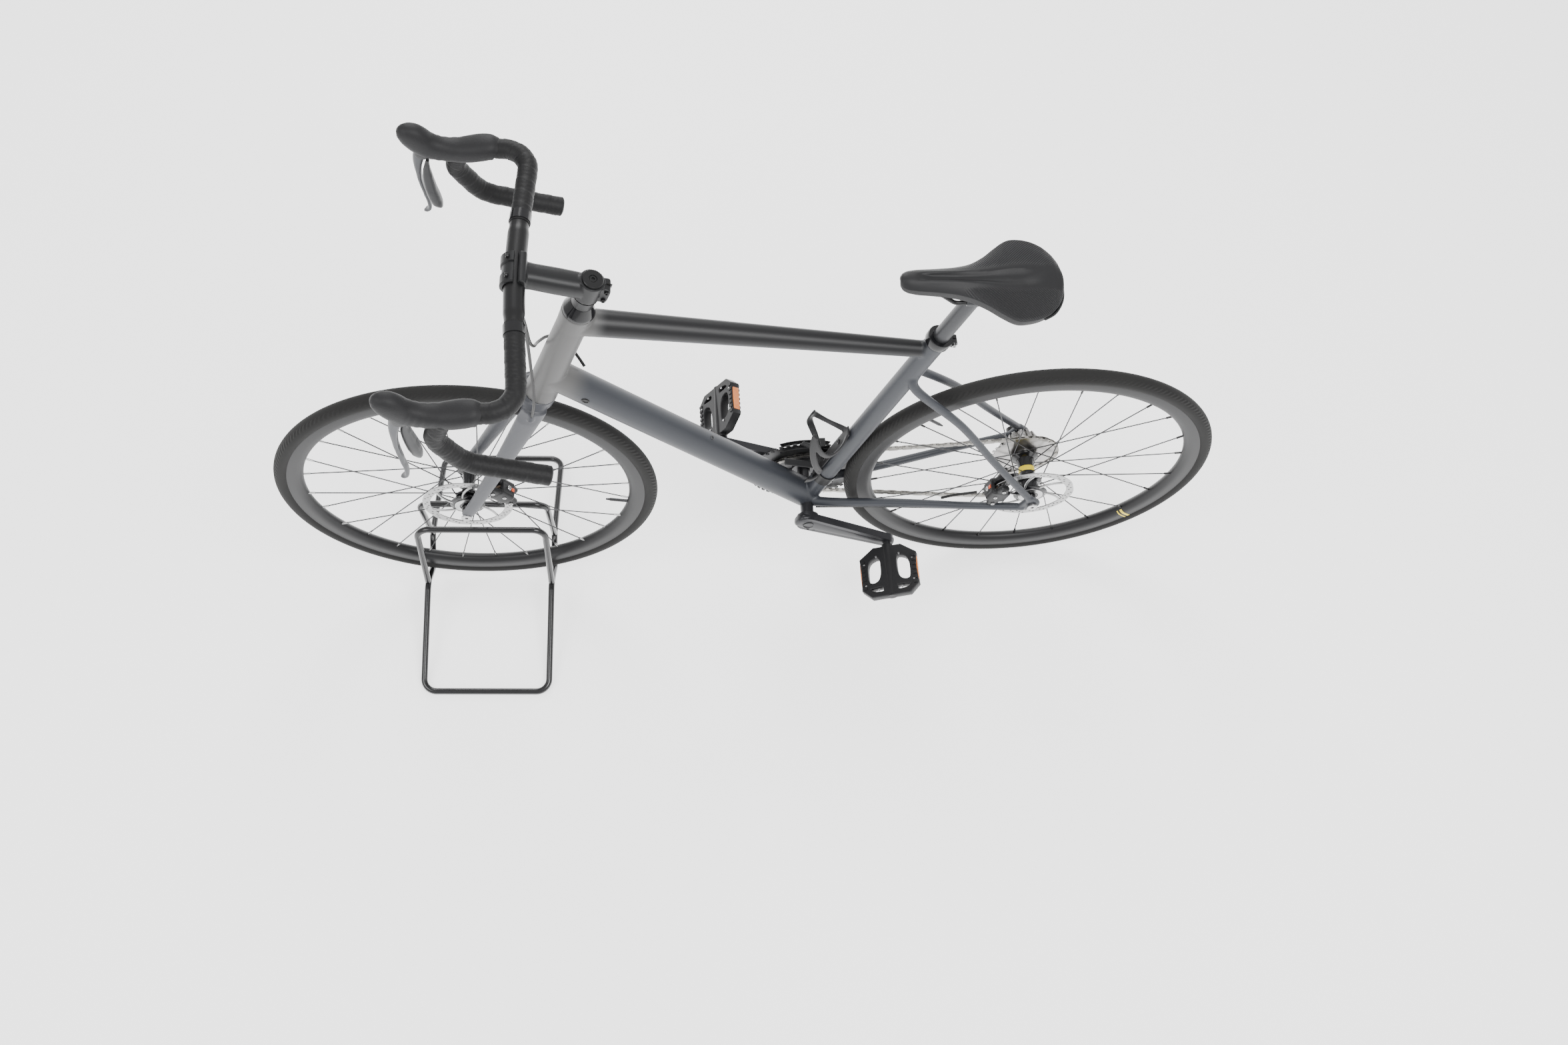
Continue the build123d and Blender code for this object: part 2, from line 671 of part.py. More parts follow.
def blade(sections, y, pivot, barrel):
    """A lofted lever hanging from a barrel that turns on a pin at the pivot."""
    forward, height = pivot
    half_barrel = sections[0][3] + 1.0
    with BuildPart() as part:
        for x, z, depth, width in sections:
            with BuildSketch(Plane.XY.offset(z)):
                with Locations((x, y)):
                    RectangleRounded(2 * depth, 2 * width, 0.8 * depth)
        loft()
        for reach, radius, mode in ((half_barrel, barrel, Mode.ADD), (20.0, PIN_RADIUS, Mode.SUBTRACT)):
            add(rod((forward, y - reach, height), (forward, y + reach, height), radius), mode=mode)
    return part.part


def brake_lever(side):
    return blade(LEVER_SECTIONS, side * (LEVER_WIDTH + LEVER_OFFSET), LEVER_PIVOT, LEVER_BARREL)


def shift_paddle(side):
    return blade(PADDLE_SECTIONS, side * (LEVER_WIDTH + PADDLE_OFFSET), PADDLE_PIVOT,
                 PADDLE_BARREL)


# --- Brakes -------------------------------------------------------------------------------------

PAD_GAP, PAD_THICKNESS = 0.25, 4.0


def caliper(length, height, rotor_y, inner_y, outer_y):
    """A bridge over the rotor, in the XZ plane of its wheel, hollow for the two pads."""
    cavity = ROTOR_HALF + PAD_GAP + PAD_THICKNESS + 0.4
    with BuildPart() as body:
        with BuildSketch(Plane(origin=(0, inner_y, 0), x_dir=(1, 0, 0), z_dir=(0, 1, 0))):
            RectangleRounded(length, height, 9)
        extrude(amount=outer_y - inner_y)
        with BuildSketch(Plane(origin=(0, rotor_y - cavity, 0), x_dir=(1, 0, 0), z_dir=(0, 1, 0))):
            Rectangle(length * 0.52, height * 2)
        extrude(amount=2 * cavity, mode=Mode.SUBTRACT)
        with BuildSketch(Plane(origin=(0, rotor_y - 2, 0), x_dir=(1, 0, 0), z_dir=(0, 1, 0))):
            Rectangle(length * 2, height * 2)
        extrude(amount=4, mode=Mode.SUBTRACT)
        with Locations((0, rotor_y, height / 2 - 4)):
            Box(length * 0.52, 2 * cavity + 1, 7.5)
    return body.part


def pad(length, height, rotor_y, side):
    """One brake pad, just clear of the rotor's face."""
    near = rotor_y + side * (ROTOR_HALF + PAD_GAP)
    with BuildPart() as body:
        with BuildSketch(Plane(origin=(0, near, 0), x_dir=(1, 0, 0), z_dir=(0, side, 0))):
            Rectangle(length, height)
        extrude(amount=PAD_THICKNESS)
    return body.part


# The calipers' middles, and the turn that points their backs away from the wheel's centre.
FRONT_CALIPER = STEERING * Pos(*FRONT_CALIPER_AT) * Rot(0, FRONT_CALIPER_TURN, 0)
REAR_CALIPER = BIKE * Pos(*REAR_CALIPER_AT) * Rot(0, REAR_CALIPER_TURN, 0)
PAD_LENGTH, PAD_HEIGHT = 24.0, 15.0


def rotor(y, carrier_radius):
    """Braking ring, five arms and the carrier that slides on the hub."""
    with BuildPart() as disc:
        with BuildSketch(Plane(origin=(0, y - ROTOR_HALF, 0), z_dir=(0, 1, 0))):
            Circle(ROTOR_RADIUS)
            Circle(66.0, mode=Mode.SUBTRACT)
            with PolarLocations(47, 5):
                Rectangle(42, 9)
            Circle(30.0)
            Circle(carrier_radius, mode=Mode.SUBTRACT)
        extrude(amount=2 * ROTOR_HALF)
    return disc.part


def hose(points):
    """A brake hose with every bend as wide as its shorter run allows."""
    corners = [Vector(*point) for point in points]
    radii = []
    for before, here, after in zip(corners, corners[1:], corners[2:]):
        turn = math.radians((here - before).get_angle(after - here))
        shorter = min((here - before).length, (after - here).length)
        radii.append(0.45 * shorter / math.tan(turn / 2))
    return bent_tube(points, radii, HOSE_RADIUS)


# --- Wheels (axle along Y) ----------------------------------------------------------------------

def tyre():
    with BuildPart() as body:
        with BuildSketch(Plane.XY):
            with Locations((WHEEL_RADIUS - TYRE_RADIUS, 0)):
                Circle(TYRE_RADIUS)
            with Locations((RIM_RADIUS - 10, 0)):
                Rectangle(20, 40, mode=Mode.SUBTRACT)
        revolve(axis=Axis.Y)
    return body.part


def rim():
    """A deep channel rim with a rounded spoke bed, open under the tyre."""
    wall = 1.8
    with BuildPart() as body:
        with BuildSketch(Plane.XY):
            with BuildLine():
                Polyline((292.5, 8.5), (299, 11.2), (RIM_RADIUS, 11.0), (RIM_RADIUS, 11.0 - wall),
                         (300, 11.2 - wall), (294, 8.0 - wall / 2))
                ThreePointArc((294, 8.0 - wall / 2), (289.3, 0), (294, -8.0 + wall / 2))
                Polyline((294, -8.0 + wall / 2), (300, -11.2 + wall), (RIM_RADIUS, -11.0 + wall),
                         (RIM_RADIUS, -11.0), (299, -11.2), (292.5, -8.5))
                ThreePointArc((292.5, -8.5), (287.4, 0), (292.5, 8.5))
            make_face()
        revolve(axis=Axis.Y)
    return body.part


def spokes(count, left_flange, right_flange, turn):
    """Crossed spokes: each flange's spokes lean forward and back in turn."""
    radius, rim_end = 1.0, 288.0
    with BuildPart() as lacing:
        for index in range(count):
            flange_radius, flange_y = right_flange if index % 2 else left_flange
            lean = 68 if (index // 2) % 2 else -68
            outer = math.radians(turn + index * 360 / count)
            inner = outer + math.radians(lean)
            shift = 1.6 if lean > 0 else -1.6
            start = (flange_radius * math.cos(inner), flange_y + shift, flange_radius * math.sin(inner))
            tilt = math.copysign(2.0, flange_y)
            end = (rim_end * math.cos(outer), tilt, rim_end * math.sin(outer))
            add(rod(start, end, radius))
    return lacing.part


def front_hub():
    end, bore = FRONT_OLD / 2 - 0.2, AXLE_RADIUS + RUNNING_GAP
    return turned((bore, -end), (9.5, -end), (9.5, -38), (14, -36), (22, -35.5), (22, -31.5),
                  (13, -27), (11, -10), (12, 12), (22, 18.5), (22, 22.5), (17, 24), (17, 38),
                  (9.5, 40), (9.5, end), (bore, end))


def rear_hub():
    end, bore = REAR_OLD / 2 - 0.2, AXLE_RADIUS + RUNNING_GAP
    return turned((bore, -end), (8.4, -end), (8.4, -23.4), (24, -23.4), (25, -22), (25, -18),
                  (17, -14), (14, 5), (15, 22), (24, 28), (24, 32), (18, 34), (17, 58),
                  (9.5, 60), (9.5, end), (bore, end))


def thru_axle(half_length, head_radius):
    """Axle with a flanged head on the left side."""
    with BuildPart() as axle:
        add(rod((0, -half_length, 0), (0, half_length, 0), AXLE_RADIUS))
        add(rod((0, half_length, 0), (0, half_length + 1.5, 0), head_radius))
        add(rod((0, half_length, 0), (0, half_length + 3, 0), 3.0), mode=Mode.SUBTRACT)
    return axle.part


def cassette():
    """Eleven cogs on the freehub body."""
    bore = 8.4 + RUNNING_GAP
    with BuildPart() as stack:
        add(turned((bore, -24.0), (17, -24.0), (17, -67.2), (bore, -67.2)))
        for index, teeth in enumerate(COGS):
            y = FIRST_COG_Y - index * COG_STEP
            add(spun_plate(teeth, y, 1.6, 16.5))
            if index + 1 < len(COGS):
                collar = min(20.0, pitch_radius(COGS[index + 1]) - 4.5)
                add(turned((16.5, y), (collar, y), (collar, y - COG_STEP), (16.5, y - COG_STEP)))
    return stack.part


# --- Drivetrain ---------------------------------------------------------------------------------

def crank_arm(y_hub, y_pedal, thickness, side):
    """A crank from the spindle to the pedal eye, tapered and leaning outward."""
    hub_radius, eye_radius = 21.0, 13.5
    lean = (y_pedal - y_hub) / CRANK_LENGTH
    plane = Plane(origin=(0, y_hub, 0), x_dir=(1, lean, 0), z_dir=(-lean, 1, 0))
    with BuildPart() as arm:
        with BuildSketch(plane):
            Circle(hub_radius)
            with Locations((CRANK_LENGTH, 0)):
                Circle(eye_radius)
            make_hull()
        extrude(amount=side * thickness)
    return arm.part


def crank_left():
    with BuildPart() as crank:
        add(Rot(0, 180, 0) * crank_arm(53.0, 61.0, 14.0, 1))
        add(rod((0, 48.3, 0), (0, 60, 0), 20.0))
        add(rod((0, 40, 0), (0, 80, 0), 12.02), mode=Mode.SUBTRACT)
        add(rod((-CRANK_LENGTH, 60, 0), (-CRANK_LENGTH, 180, 0), 7.0))
    return crank.part


def crank_right():
    """Right arm with its spindle and four spider arms."""
    with BuildPart() as crank:
        add(crank_arm(-53.0, -61.0, 14.0, -1))
        add(rod((0, -62, 0), (0, 66, 0), 12.0))
        add(rod((0, -53, 0), (0, -48.3, 0), 22.0))
        for turn in (35, 125, 215, 305):
            x = 56 * math.cos(math.radians(turn))
            z = 56 * math.sin(math.radians(turn))
            add(rod((x * 0.2, -55.5, z * 0.2), (x, -52.5, z), 8.0, 5.0))
        add(rod((CRANK_LENGTH, -60, 0), (CRANK_LENGTH, -180, 0), 7.0))
        face = BIG_RING_Y - BIG_RING_THICKNESS / 2
        keep = turned((0, -200), (300, -200), (300, face), (30, face), (30, -48.3),
                      (12, -48.3), (12, 67), (0, 67))
        add(keep, mode=Mode.INTERSECT)
    return crank.part


def chainrings():
    with BuildPart() as rings:
        add(spun_plate(BIG_RING, BIG_RING_Y, BIG_RING_THICKNESS, 50.0, tip=3.2))
        add(spun_plate(SMALL_RING, SMALL_RING_Y, 1.6, 46.0))
    return rings.part


PEDAL_INNER, PEDAL_OUTER = 84.0, 184.0
PEDAL_TILT_LEFT, PEDAL_TILT_RIGHT = -18.0, -58.0


def pedal(side):
    """Platform with a spindle barrel and windows either side of it."""
    half_length, half_thickness = 53.0, 9.0
    middle = (PEDAL_INNER + PEDAL_OUTER) / 2
    half_width = (PEDAL_OUTER - PEDAL_INNER) / 2
    with BuildPart() as body:
        with BuildSketch(Plane.XY.offset(-half_thickness)):
            with BuildLine():
                Polyline((-half_length, middle - 26), (-22, middle - half_width),
                         (22, middle - half_width), (half_length, middle - 26),
                         (half_length, middle + 34), (34, middle + half_width),
                         (-34, middle + half_width), (-half_length, middle + 34), close=True)
            make_face()
            for x in (-27, 27):
                with Locations((x, middle)):
                    RectangleRounded(30, 66, 8, mode=Mode.SUBTRACT)
        extrude(amount=2 * half_thickness)
        add(rod((0, PEDAL_INNER - 6, 0), (0, PEDAL_OUTER, 0), 11.0))
        bore = 7.0 + RUNNING_GAP
        add(rod((0, PEDAL_INNER - 10, 0), (0, 181, 0), bore), mode=Mode.SUBTRACT)
    return body.part if side > 0 else mirror(body.part, about=Plane.XZ)


# --- Chain path ---------------------------------------------------------------------------------

def tangent(first, second):
    """Ends of the straight run from one wheel to the next; a radius is positive if run left."""
    (x1, z1, r1), (x2, z2, r2) = first, second
    span = math.hypot(x2 - x1, z2 - z1)
    normal = math.atan2(z2 - z1, x2 - x1) + math.acos((r2 - r1) / span)
    nx, nz = math.cos(normal), math.sin(normal)
    return (x1 - nx * r1, z1 - nz * r1), (x2 - nx * r2, z2 - nz * r2)


def eased(t):
    """Smooth step, so that the chain meets each toothed wheel in that wheel's own plane."""
    return t * t * (3 - 2 * t)


def chain_path(step):
    """Points about one step apart, right round the chain, as (x, y, z) in the bike frame."""
    wheels = [
        (BB_X, BB_Z, pitch_radius(SMALL_RING), SMALL_RING_Y),
        (0.0, 0.0, pitch_radius(COGS[0]), FIRST_COG_Y),
        (*GUIDE_PULLEY, -pitch_radius(PULLEY_TEETH), FIRST_COG_Y),
        (*TENSION_PULLEY, pitch_radius(PULLEY_TEETH), FIRST_COG_Y),
    ]
    runs = [tangent(a[:3], b[:3]) for a, b in zip(wheels, wheels[1:] + wheels[:1])]
    fine = []
    for index, (x, z, radius, y) in enumerate(wheels):
        enter, leave = runs[index - 1][1], runs[index][0]
        start = math.atan2(enter[1] - z, enter[0] - x)
        end = math.atan2(leave[1] - z, leave[0] - x)
        sweep_angle = (end - start) % (2 * math.pi)
        if radius < 0:
            sweep_angle -= 2 * math.pi
        for part in range(200):
            angle = start + sweep_angle * part / 200
            fine.append((x + abs(radius) * math.cos(angle), y, z + abs(radius) * math.sin(angle)))
        next_y = wheels[(index + 1) % len(wheels)][3]
        after = runs[index][1]
        for part in range(200):
            t = part / 200
            fine.append((leave[0] + (after[0] - leave[0]) * t, y + (next_y - y) * eased(t),
                         leave[1] + (after[1] - leave[1]) * t))
    lengths = [math.dist(a, b) for a, b in zip(fine, fine[1:] + fine[:1])]
    total = sum(lengths)
    count = 2 * round(total / step / 2)
    pins, travelled, wanted = [], 0.0, 0.0
    for index, length in enumerate(lengths):
        after = fine[(index + 1) % len(fine)]
        while wanted < travelled + length and len(pins) < count:
            t = (wanted - travelled) / length
            pins.append(tuple(a + (b - a) * t for a, b in zip(fine[index], after)))
            wanted += total / count
        travelled += length
    return pins


def chain():
    """Pairs of side plates, narrow and wide in turn."""
    plate_height, plate = 7.4, 0.8
    pins = chain_path(CHAIN_PITCH)
    plates = []
    for index, (here, after) in enumerate(zip(pins, pins[1:] + pins[:1])):
        run = Vector(*after) - Vector(*here)
        middle = (Vector(*after) + Vector(*here)) * 0.5
        across = run.cross(Vector(0, 1, 0)).cross(run)
        offset = 1.9 if index % 2 else 1.05
        for low in (offset, -offset - plate):
            with BuildPart() as link:
                with BuildSketch(Plane(origin=middle, x_dir=run, z_dir=across).offset(low)):
                    SlotCenterToCenter(run.length, plate_height)
                extrude(amount=plate)
            plates.append(link.part)
    return Compound(children=plates)


# --- Rear derailleur ----------------------------------------------------------------------------

CAGE_PIVOT = (GUIDE_PULLEY[0] + 7, GUIDE_PULLEY[1] + 2)


def derailleur_upper_knuckle():
    """Pivot block on the hanger behind the right dropout."""
    with BuildPart() as block:
        add(rod((8, -84.5, -27), (8, -96, -27), 12.0))
        add(rod((4, -84.0, -10), (8, -90, -27), 6.0))
        add(rod((2, -72, -14), (8, -83, -27), 7.0))
        add(rod((0, -60, 0), (0, -100, 0), 8), mode=Mode.SUBTRACT)
        add(dropout(-1), mode=Mode.SUBTRACT)
    return block.part


def derailleur_lower_knuckle():
    """The links and the damped knuckle that carries the cage."""
    x, z = CAGE_PIVOT
    with BuildPart() as block:
        add(rod((14, -86, -48), (x + 22, -62, z + 6), 7.0))
        add(rod((x, -38.2, z), (x, -62, z), 13.0))
        add(rod((x, -56, z), (x + 22, -60, z + 6), 9.0))
    return block.part


def derailleur_cage():
    """Two cage plates joined by the pulley bolts."""
    guide = Vector(GUIDE_PULLEY[0], 0, GUIDE_PULLEY[1])
    tension = Vector(TENSION_PULLEY[0], 0, TENSION_PULLEY[1])
    run = tension - guide
    with BuildPart() as cage:
        for y in (FIRST_COG_Y - 6.6, FIRST_COG_Y + 5.0):
            middle = (guide + tension) * 0.5 + Vector(0, y, 0)
            with BuildSketch(Plane(origin=middle, x_dir=run, z_dir=(0, 1, 0))):
                SlotCenterToCenter(run.length, 19)
            extrude(amount=1.6)
        for wheel in (guide, tension):
            start = wheel + Vector(0, FIRST_COG_Y - 6, 0)
            end = wheel + Vector(0, FIRST_COG_Y + 6, 0)
            add(rod(tuple(start), tuple(end), 3.0))
        x, z = CAGE_PIVOT
        add(rod((x, FIRST_COG_Y - 6, z), (x, -38.0, z), 8.0))
    return cage.part


def pulley(centre):
    """Jockey wheel running on the cage's bolt."""
    wheel = spun_plate(PULLEY_TEETH, FIRST_COG_Y, 1.6, 9.0, tip=1.6)
    hub = turned((3.0 + RUNNING_GAP, FIRST_COG_Y - 3), (9.5, FIRST_COG_Y - 3),
                 (9.5, FIRST_COG_Y + 3), (3.0 + RUNNING_GAP, FIRST_COG_Y + 3))
    with BuildPart() as body:
        add(wheel)
        add(hub)
    return Pos(centre[0], 0, centre[1]) * body.part


# --- Writing the parts --------------------------------------------------------------------------

def main():
    os.makedirs("parts", exist_ok=True)
    save("stand_base", stand_base(), STAND)
    save("stand_hoops", stand_hoops(), STAND)

    save("head_tube", head_tube(), BIKE)
    save("top_tube", top_tube(), BIKE)
    save("down_tube", down_tube(), BIKE)
    save("seat_tube", seat_tube(), BIKE)
    save("bottom_bracket_shell", bottom_bracket_shell(), BIKE)
    save("chainstays", chainstays(), BIKE)
    save("seatstays", seatstays(), BIKE)
    save("seat_clamp", seat_clamp(), SEAT)
    save("bottle_cage", bottle_cage(), SEAT)
    save("front_derailleur_clamp", front_derailleur_clamp(), SEAT)
    save("front_derailleur_cage", front_derailleur_cage(), BIKE)

    save("seatpost", seatpost(), BIKE)
    save("saddle_rails", saddle_rails(), BIKE)
    save("saddle_cover", saddle_cover(), BIKE)

    save("fork", fork(), STEERING)
    save("headset_spacers", headset_spacers(), STEERING)
    save("stem", stem(), STEERING)
    save("stem_faceplate", stem_faceplate(), STEERING)
    save("stem_bolts", stem_bolts(), STEERING)
    save("handlebar", handlebar(), STEERING)
    save("bar_tape", bar_tape(), STEERING)
    save("lever_hoods", lever_hoods(), STEERING)
    for name, side in (("left", 1), ("right", -1)):
        save(f"brake_lever_{name}", brake_lever(side), STEERING)
        save(f"shift_paddle_{name}", shift_paddle(side), STEERING)

    front_body = caliper(CALIPER_LENGTH, FRONT_CALIPER_HEIGHT, FRONT_ROTOR_Y, 25.5, 44.5)
    save("front_caliper", front_body, FRONT_CALIPER)
    rear_body = caliper(CALIPER_LENGTH, REAR_CALIPER_HEIGHT, REAR_ROTOR_Y, 45.0, 66.0)
    save("rear_caliper", rear_body, REAR_CALIPER)
    pad_size = (PAD_LENGTH, PAD_HEIGHT)
    for name, side in (("outer", 1), ("inner", -1)):
        save(f"front_pad_{name}", pad(*pad_size, FRONT_ROTOR_Y, side), FRONT_CALIPER)
        save(f"rear_pad_{name}", pad(*pad_size, REAR_ROTOR_Y, side), REAR_CALIPER)
    save("front_brake_hose", hose(FRONT_HOSE), STEERING)
    rear_hoses = Compound(children=[STEERING * hose(CROSS_HOSE), BIKE * hose(CHAINSTAY_HOSE)])
    save("rear_brake_hose", rear_hoses, Pos(0, 0, 0))

    for name, place in (("front", FRONT_WHEEL), ("rear", BIKE)):
        save(f"{name}_tyre", tyre(), place)
        save(f"{name}_rim", rim(), place)
    save("front_spokes", spokes(28, (20.0, 20.5), (20.0, -33.5), 4), FRONT_WHEEL)
    save("rear_spokes", spokes(24, (22.0, 30.0), (23.0, -20.0), 9), BIKE)
    save("front_hub", front_hub(), FRONT_WHEEL)
    save("rear_hub", rear_hub(), BIKE)
    save("front_rotor", rotor(FRONT_ROTOR_Y, 17.05), FRONT_WHEEL)
    save("rear_rotor", rotor(REAR_ROTOR_Y, 17.3), BIKE)
    save("front_axle", thru_axle(FRONT_OLD / 2 + 12.5, 9.5), FRONT_WHEEL)
    save("rear_axle", thru_axle(REAR_OLD / 2 + 12.1, 9.5), BIKE)
    save("cassette", cassette(), BIKE)

    save("crank_left", crank_left(), CRANK)
    save("crank_right", crank_right(), CRANK)
    save("chainrings", chainrings(), CRANK)
    left_eye = CRANK * Pos(-CRANK_LENGTH, 0, 0) * Rot(0, CRANK_ANGLE, 0)
    right_eye = CRANK * Pos(CRANK_LENGTH, 0, 0) * Rot(0, CRANK_ANGLE, 0)
    save("pedal_left", pedal(1), left_eye * Rot(0, -PEDAL_TILT_LEFT, 0))
    save("pedal_right", pedal(-1), right_eye * Rot(0, -PEDAL_TILT_RIGHT, 0))

    save("chain", chain(), BIKE)
    save("derailleur_upper_knuckle", derailleur_upper_knuckle(), BIKE)
    save("derailleur_lower_knuckle", derailleur_lower_knuckle(), BIKE)
    save("derailleur_cage", derailleur_cage(), BIKE)
    save("guide_pulley", pulley(GUIDE_PULLEY), BIKE)
    save("tension_pulley", pulley(TENSION_PULLEY), BIKE)


main()
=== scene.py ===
"""Looks for the road bicycle in its floor stand.

Shapes are written in millimetres in the same local frames as the CAD part: bike (rear axle, +X
forward, +Z up), steering (+Z up the steering axis), crank, seat tube, wheel and stand. The
placing matrices turn them into the shared frame, in metres.
"""
import math

import bmesh
import bpy
from mathutils import Matrix, Vector


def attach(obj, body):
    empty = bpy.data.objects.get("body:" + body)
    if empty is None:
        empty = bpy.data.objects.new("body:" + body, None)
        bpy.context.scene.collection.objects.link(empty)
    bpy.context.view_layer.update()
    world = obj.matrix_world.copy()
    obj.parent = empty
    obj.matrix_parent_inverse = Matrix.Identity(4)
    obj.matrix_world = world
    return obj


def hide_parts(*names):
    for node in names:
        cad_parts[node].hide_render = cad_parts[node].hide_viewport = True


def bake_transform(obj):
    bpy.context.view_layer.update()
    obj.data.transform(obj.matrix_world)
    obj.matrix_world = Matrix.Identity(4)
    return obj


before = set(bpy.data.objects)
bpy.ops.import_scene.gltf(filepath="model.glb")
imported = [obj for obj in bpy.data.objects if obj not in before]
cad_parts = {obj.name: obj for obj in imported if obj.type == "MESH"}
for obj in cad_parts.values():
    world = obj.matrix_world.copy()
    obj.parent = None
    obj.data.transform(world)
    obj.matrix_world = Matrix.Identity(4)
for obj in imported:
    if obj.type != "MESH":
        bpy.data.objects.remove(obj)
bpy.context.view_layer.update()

# --- Local frames -------------------------------------------------------------------------------
MM = 0.001
HEAD_ANGLE = 72.7
SEAT_ANGLE = 72.0
FORK_RAKE = 45.0
CRANK_AT = (405.5, 0.0, -70.0)
CRANK_LENGTH = 172.5
CRANK_ANGLE = 26.6
SEAT_SETBACK = 5.5
HEAD_AXIS_FOOT = (977.0, 0.0, -13.4)
X, Y, Z = (1, 0, 0), (0, 1, 0), (0, 0, 1)


def at(x, y, z):
    """A shift."""
    return Matrix.Translation((x, y, z))


def turn(axis, degrees):
    """A turn about one of the frame's axes."""
    return Matrix.Rotation(math.radians(degrees), 4, axis)


ROW = Matrix.Scale(MM, 4) @ at(0.23, -12.0, 0)
BIKE = ROW @ at(-509.9, 10.43, 338.84) @ turn("X", -1.763) @ turn("Y", -1.081)
HEAD_AXIS = at(*HEAD_AXIS_FOOT) @ turn("Y", HEAD_ANGLE - 90)
SEAT_AXIS = at(CRANK_AT[0] - SEAT_SETBACK, 0, CRANK_AT[2]) @ turn("Y", SEAT_ANGLE - 90)
STEERING = BIKE @ HEAD_AXIS @ turn("Z", -2.92)
FRONT_WHEEL = STEERING @ at(FORK_RAKE, 0, 0)
CRANK = BIKE @ at(*CRANK_AT) @ turn("Y", -CRANK_ANGLE)
SEAT = BIKE @ SEAT_AXIS

# --- Camera and stage ---------------------------------------------------------------------------
CAMERA_PLACE = Vector((0.1535, 1.4915, 3.0387))
CAMERA_AZIMUTH, CAMERA_ELEVATION, CAMERA_ROLL = 171.608, 62.311, 4.669
CAMERA_LENS, SENSOR_WIDTH = 38.72, 36.0
FLOOR_HALF = 9.0
FLOOR_GLOW, ROOM_GLOW = 1.3, 1.0
LIGHTS = {
    # place, target, size in metres, power in watts
    "key": ((-1.2, 1.6, 3.6), (0, 0, 0.3), 2.0, 105),
    "fill": ((2.4, 1.2, 3.0), (0.2, 0, 0.3), 2.0, 50),
    "back": ((0.2, -2.6, 2.6), (0, 0, 0.5), 1.8, 60),
}


def add_camera():
    """The camera at the fitted place and angles."""
    data = bpy.data.cameras.new("camera")
    data.lens = CAMERA_LENS
    data.sensor_width = SENSOR_WIDTH
    camera = bpy.data.objects.new("camera", data)
    bpy.context.scene.collection.objects.link(camera)
    rotation = turn("Z", CAMERA_AZIMUTH) @ turn("X", 90 - CAMERA_ELEVATION) @ turn("Z", CAMERA_ROLL)
    camera.matrix_world = Matrix.Translation(CAMERA_PLACE) @ rotation
    bpy.context.scene.camera = camera


def add_light(name, place, target, size, power):
    """A round soft light that looks at its target."""
    data = bpy.data.lights.new(name, "AREA")
    data.shape = "DISK"
    data.size = size
    data.energy = power
    light = bpy.data.objects.new(name, data)
    bpy.context.scene.collection.objects.link(light)
    aim = Vector(target) - Vector(place)
    light.matrix_world = Matrix.Translation(place) @ aim.to_track_quat("-Z", "Y").to_matrix().to_4x4()


def add_stage():
    """A pale glowing floor, an even white room and three soft lights."""
    corners = [(x * FLOOR_HALF, y * FLOOR_HALF, 0) for x, y in ((-1, -1), (1, -1), (1, 1), (-1, 1))]
    mesh = bpy.data.meshes.new("floor")
    mesh.from_pydata(corners, [], [(0, 1, 2, 3)])
    floor = bpy.data.objects.new("floor", mesh)
    bpy.context.scene.collection.objects.link(floor)
    paper = surface("floor_paper", (0.9, 0.9, 0.9), 0.75, mottle=0.01, grain=(60, 0.02))
    glow = paper.node_tree.nodes["Principled BSDF"].inputs
    glow["Emission Color"].default_value = (1, 1, 1, 1)
    glow["Emission Strength"].default_value = FLOOR_GLOW
    mesh.materials.append(paper)
    world = bpy.data.worlds.new("studio")
    world.use_nodes = True
    room = world.node_tree.nodes["Background"].inputs
    room["Color"].default_value = (1, 1, 1, 1)
    room["Strength"].default_value = ROOM_GLOW
    bpy.context.scene.world = world
    for name, (place, target, size, power) in LIGHTS.items():
        add_light(name, place, target, size, power)


# --- Materials ----------------------------------------------------------------------------------

CLOUD_SCALE = 14.0
ROUGH_SPREAD = 0.06
COAT_ROUGHNESS = 0.12
GRAIN_DEPTH = 0.0004


